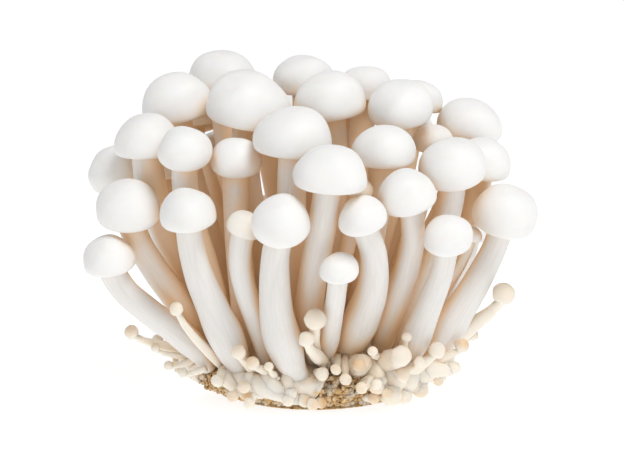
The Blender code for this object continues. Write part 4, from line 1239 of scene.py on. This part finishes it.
class SHIMEJI_OT_grow_tissue_and_pins(bpy.types.Operator):
    """Grow the white tissue, its pins and its tiny buttons"""
    bl_idname = "shimeji.grow_tissue_and_pins"
    bl_label = "Grow Tissue and Pins"

    def execute(self, context):
        draw = random.Random(SEED)
        butt = Butt(context.scene.shimeji_butt)
        shape = Shape()
        grow_tissue(shape, butt)
        grow_packed_pins(shape, butt, draw)
        grow_lying_pins(shape, butt, draw)
        grow_buttons(shape, butt, draw)
        made = shape.make("grown_tissue_and_pins", [white_tissue(butt.sizes), pin_flesh(butt.sizes)])
        write_shade(Bunch(), shape, made, *TISSUE_SHADE_STEPS)
        place_in_bunch(made, ["tissue_and_pins"])
        return {"FINISHED"}


class SHIMEJI_OT_pack_substrate(bpy.types.Operator):
    """Pack the sawdust substrate and its crumbs"""
    bl_idname = "shimeji.pack_substrate"
    bl_label = "Pack Substrate"

    def execute(self, context):
        draw = random.Random(SEED)
        butt = Butt(context.scene.shimeji_butt)
        shape = Shape()
        grow_substrate(shape, butt)
        scatter_crumbs(shape, butt, draw)
        made = shape.make("packed_substrate", [sawdust(butt.sizes)])
        place_in_bunch(made, ["substrate"])
        return {"FINISHED"}


class SHIMEJI_OT_set_stage(bpy.types.Operator):
    """Set the pale floor, the soft lights and the camera"""
    bl_idname = "shimeji.set_stage"
    bl_label = "Set Stage"

    def execute(self, context):
        stage = context.scene.shimeji_stage
        lay_floor(stage)
        light_room(context.scene, stage)
        place_camera(context.scene, stage)
        return {"FINISHED"}


def lay_floor(stage):
    """A photographer's lit table: matt opal acrylic, whose own faint glow keeps it white."""
    half = stage.floor_half
    mesh = bpy.data.meshes.new("floor")
    corners = [(-half, -half, 0), (half, -half, 0), (half, half, 0), (-half, half, 0)]
    mesh.from_pydata(corners, [], [(0, 1, 2, 3)])
    finish, _, shader = new_finish(
        "opal_acrylic_table", Roughness=0.9, Specular_IOR_Level=0.1, Emission_Strength=stage.floor_glow,
        Base_Color=rgba(stage.floor_colour), Emission_Color=(1.0, 1.0, 1.0, 1.0))
    mesh.materials.append(finish)
    floor = bpy.data.objects.new("floor", mesh)
    bpy.context.scene.collection.objects.link(floor)


def aimed(item, place, aim):
    """Puts a lamp or camera at a place, facing its aim."""
    item.location = place
    item.rotation_euler = (Vector(aim) - Vector(place)).to_track_quat("-Z", "Y").to_euler()
    bpy.context.scene.collection.objects.link(item)
    return item


def light_room(scene, stage):
    """White surroundings, and two big soft lamps."""
    world = bpy.data.worlds.new("white_room")
    world.use_nodes = True
    background = world.node_tree.nodes["Background"]
    background.inputs["Color"].default_value = (1.0, 1.0, 1.0, 1.0)
    background.inputs["Strength"].default_value = stage.sky
    scene.world = world
    scene.view_settings.view_transform = "Standard"
    aim = (0.0, 0.0, stage.aim_height)
    for name, place, size, watts in (("key", KEY_PLACE, KEY_SIZE, stage.key_watts),
                                     ("fill", FILL_PLACE, FILL_SIZE, stage.fill_watts)):
        lamp = bpy.data.lights.new(name, "AREA")
        lamp.shape = "DISK"
        lamp.size = size
        lamp.energy = watts
        aimed(bpy.data.objects.new(name, lamp), place, aim)


def place_camera(scene, stage):
    """The camera where the photograph was taken from."""
    lens = bpy.data.cameras.new("camera")
    lens.lens = stage.lens
    lens.sensor_width = SENSOR_WIDTH
    lens.dof.use_dof = False
    lens.shift_x = -AIM_RIGHT / PHOTO_WIDTH
    lens.shift_y = -AIM_UP / PHOTO_WIDTH
    lens.clip_start = NEAREST_VIEW
    flat = stage.distance * math.cos(stage.elevation)
    place = (flat * math.sin(stage.azimuth), -flat * math.cos(stage.azimuth),
             stage.aim_height + stage.distance * math.sin(stage.elevation))
    camera = bpy.data.objects.new("camera", lens)
    aimed(camera, place, (0.0, 0.0, stage.aim_height))
    scene.camera = camera


class SHIMEJI_PT_bunch(bpy.types.Panel):
    """The bunch's sizes, colours and steps"""
    bl_idname = "SHIMEJI_PT_bunch"
    bl_label = "Shimeji Bunch"
    bl_space_type = "VIEW_3D"
    bl_region_type = "UI"
    bl_category = "Shimeji"

    def draw(self, context):
        for group, operators in STEPS:
            box = self.layout.box()
            settings = getattr(context.scene, group)
            for name in settings.__annotations__:
                box.prop(settings, name)
            for operator in operators:
                box.operator(operator.bl_idname)


STEPS = (
    ("shimeji_mushrooms", (SHIMEJI_OT_grow_mushrooms,)),
    ("shimeji_butt", (SHIMEJI_OT_grow_tissue_and_pins, SHIMEJI_OT_pack_substrate)),
    ("shimeji_stage", (SHIMEJI_OT_set_stage,)),
)
GROUPS = {
    "shimeji_mushrooms": MushroomSettings,
    "shimeji_butt": ButtSettings,
    "shimeji_stage": StageSettings,
}
OPERATORS = (SHIMEJI_OT_grow_mushrooms, SHIMEJI_OT_grow_tissue_and_pins,
             SHIMEJI_OT_pack_substrate, SHIMEJI_OT_set_stage)


def register():
    """Registers the settings, the operators and the panel."""
    for name, group in GROUPS.items():
        bpy.utils.register_class(group)
        setattr(bpy.types.Scene, name, PointerProperty(type=group))
    for item in (*OPERATORS, SHIMEJI_PT_bunch):
        bpy.utils.register_class(item)


def unregister():
    """Takes them away again."""
    for item in reversed((*OPERATORS, SHIMEJI_PT_bunch)):
        bpy.utils.unregister_class(item)
    for name, group in reversed(GROUPS.items()):
        delattr(bpy.types.Scene, name)
        bpy.utils.unregister_class(group)


def main():
    """Registers the add-on and grows the whole bunch on its stage."""
    register()
    bpy.ops.shimeji.grow_mushrooms()
    bpy.ops.shimeji.grow_tissue_and_pins()
    bpy.ops.shimeji.pack_substrate()
    bpy.ops.shimeji.set_stage()


if __name__ == "__main__":
    main()
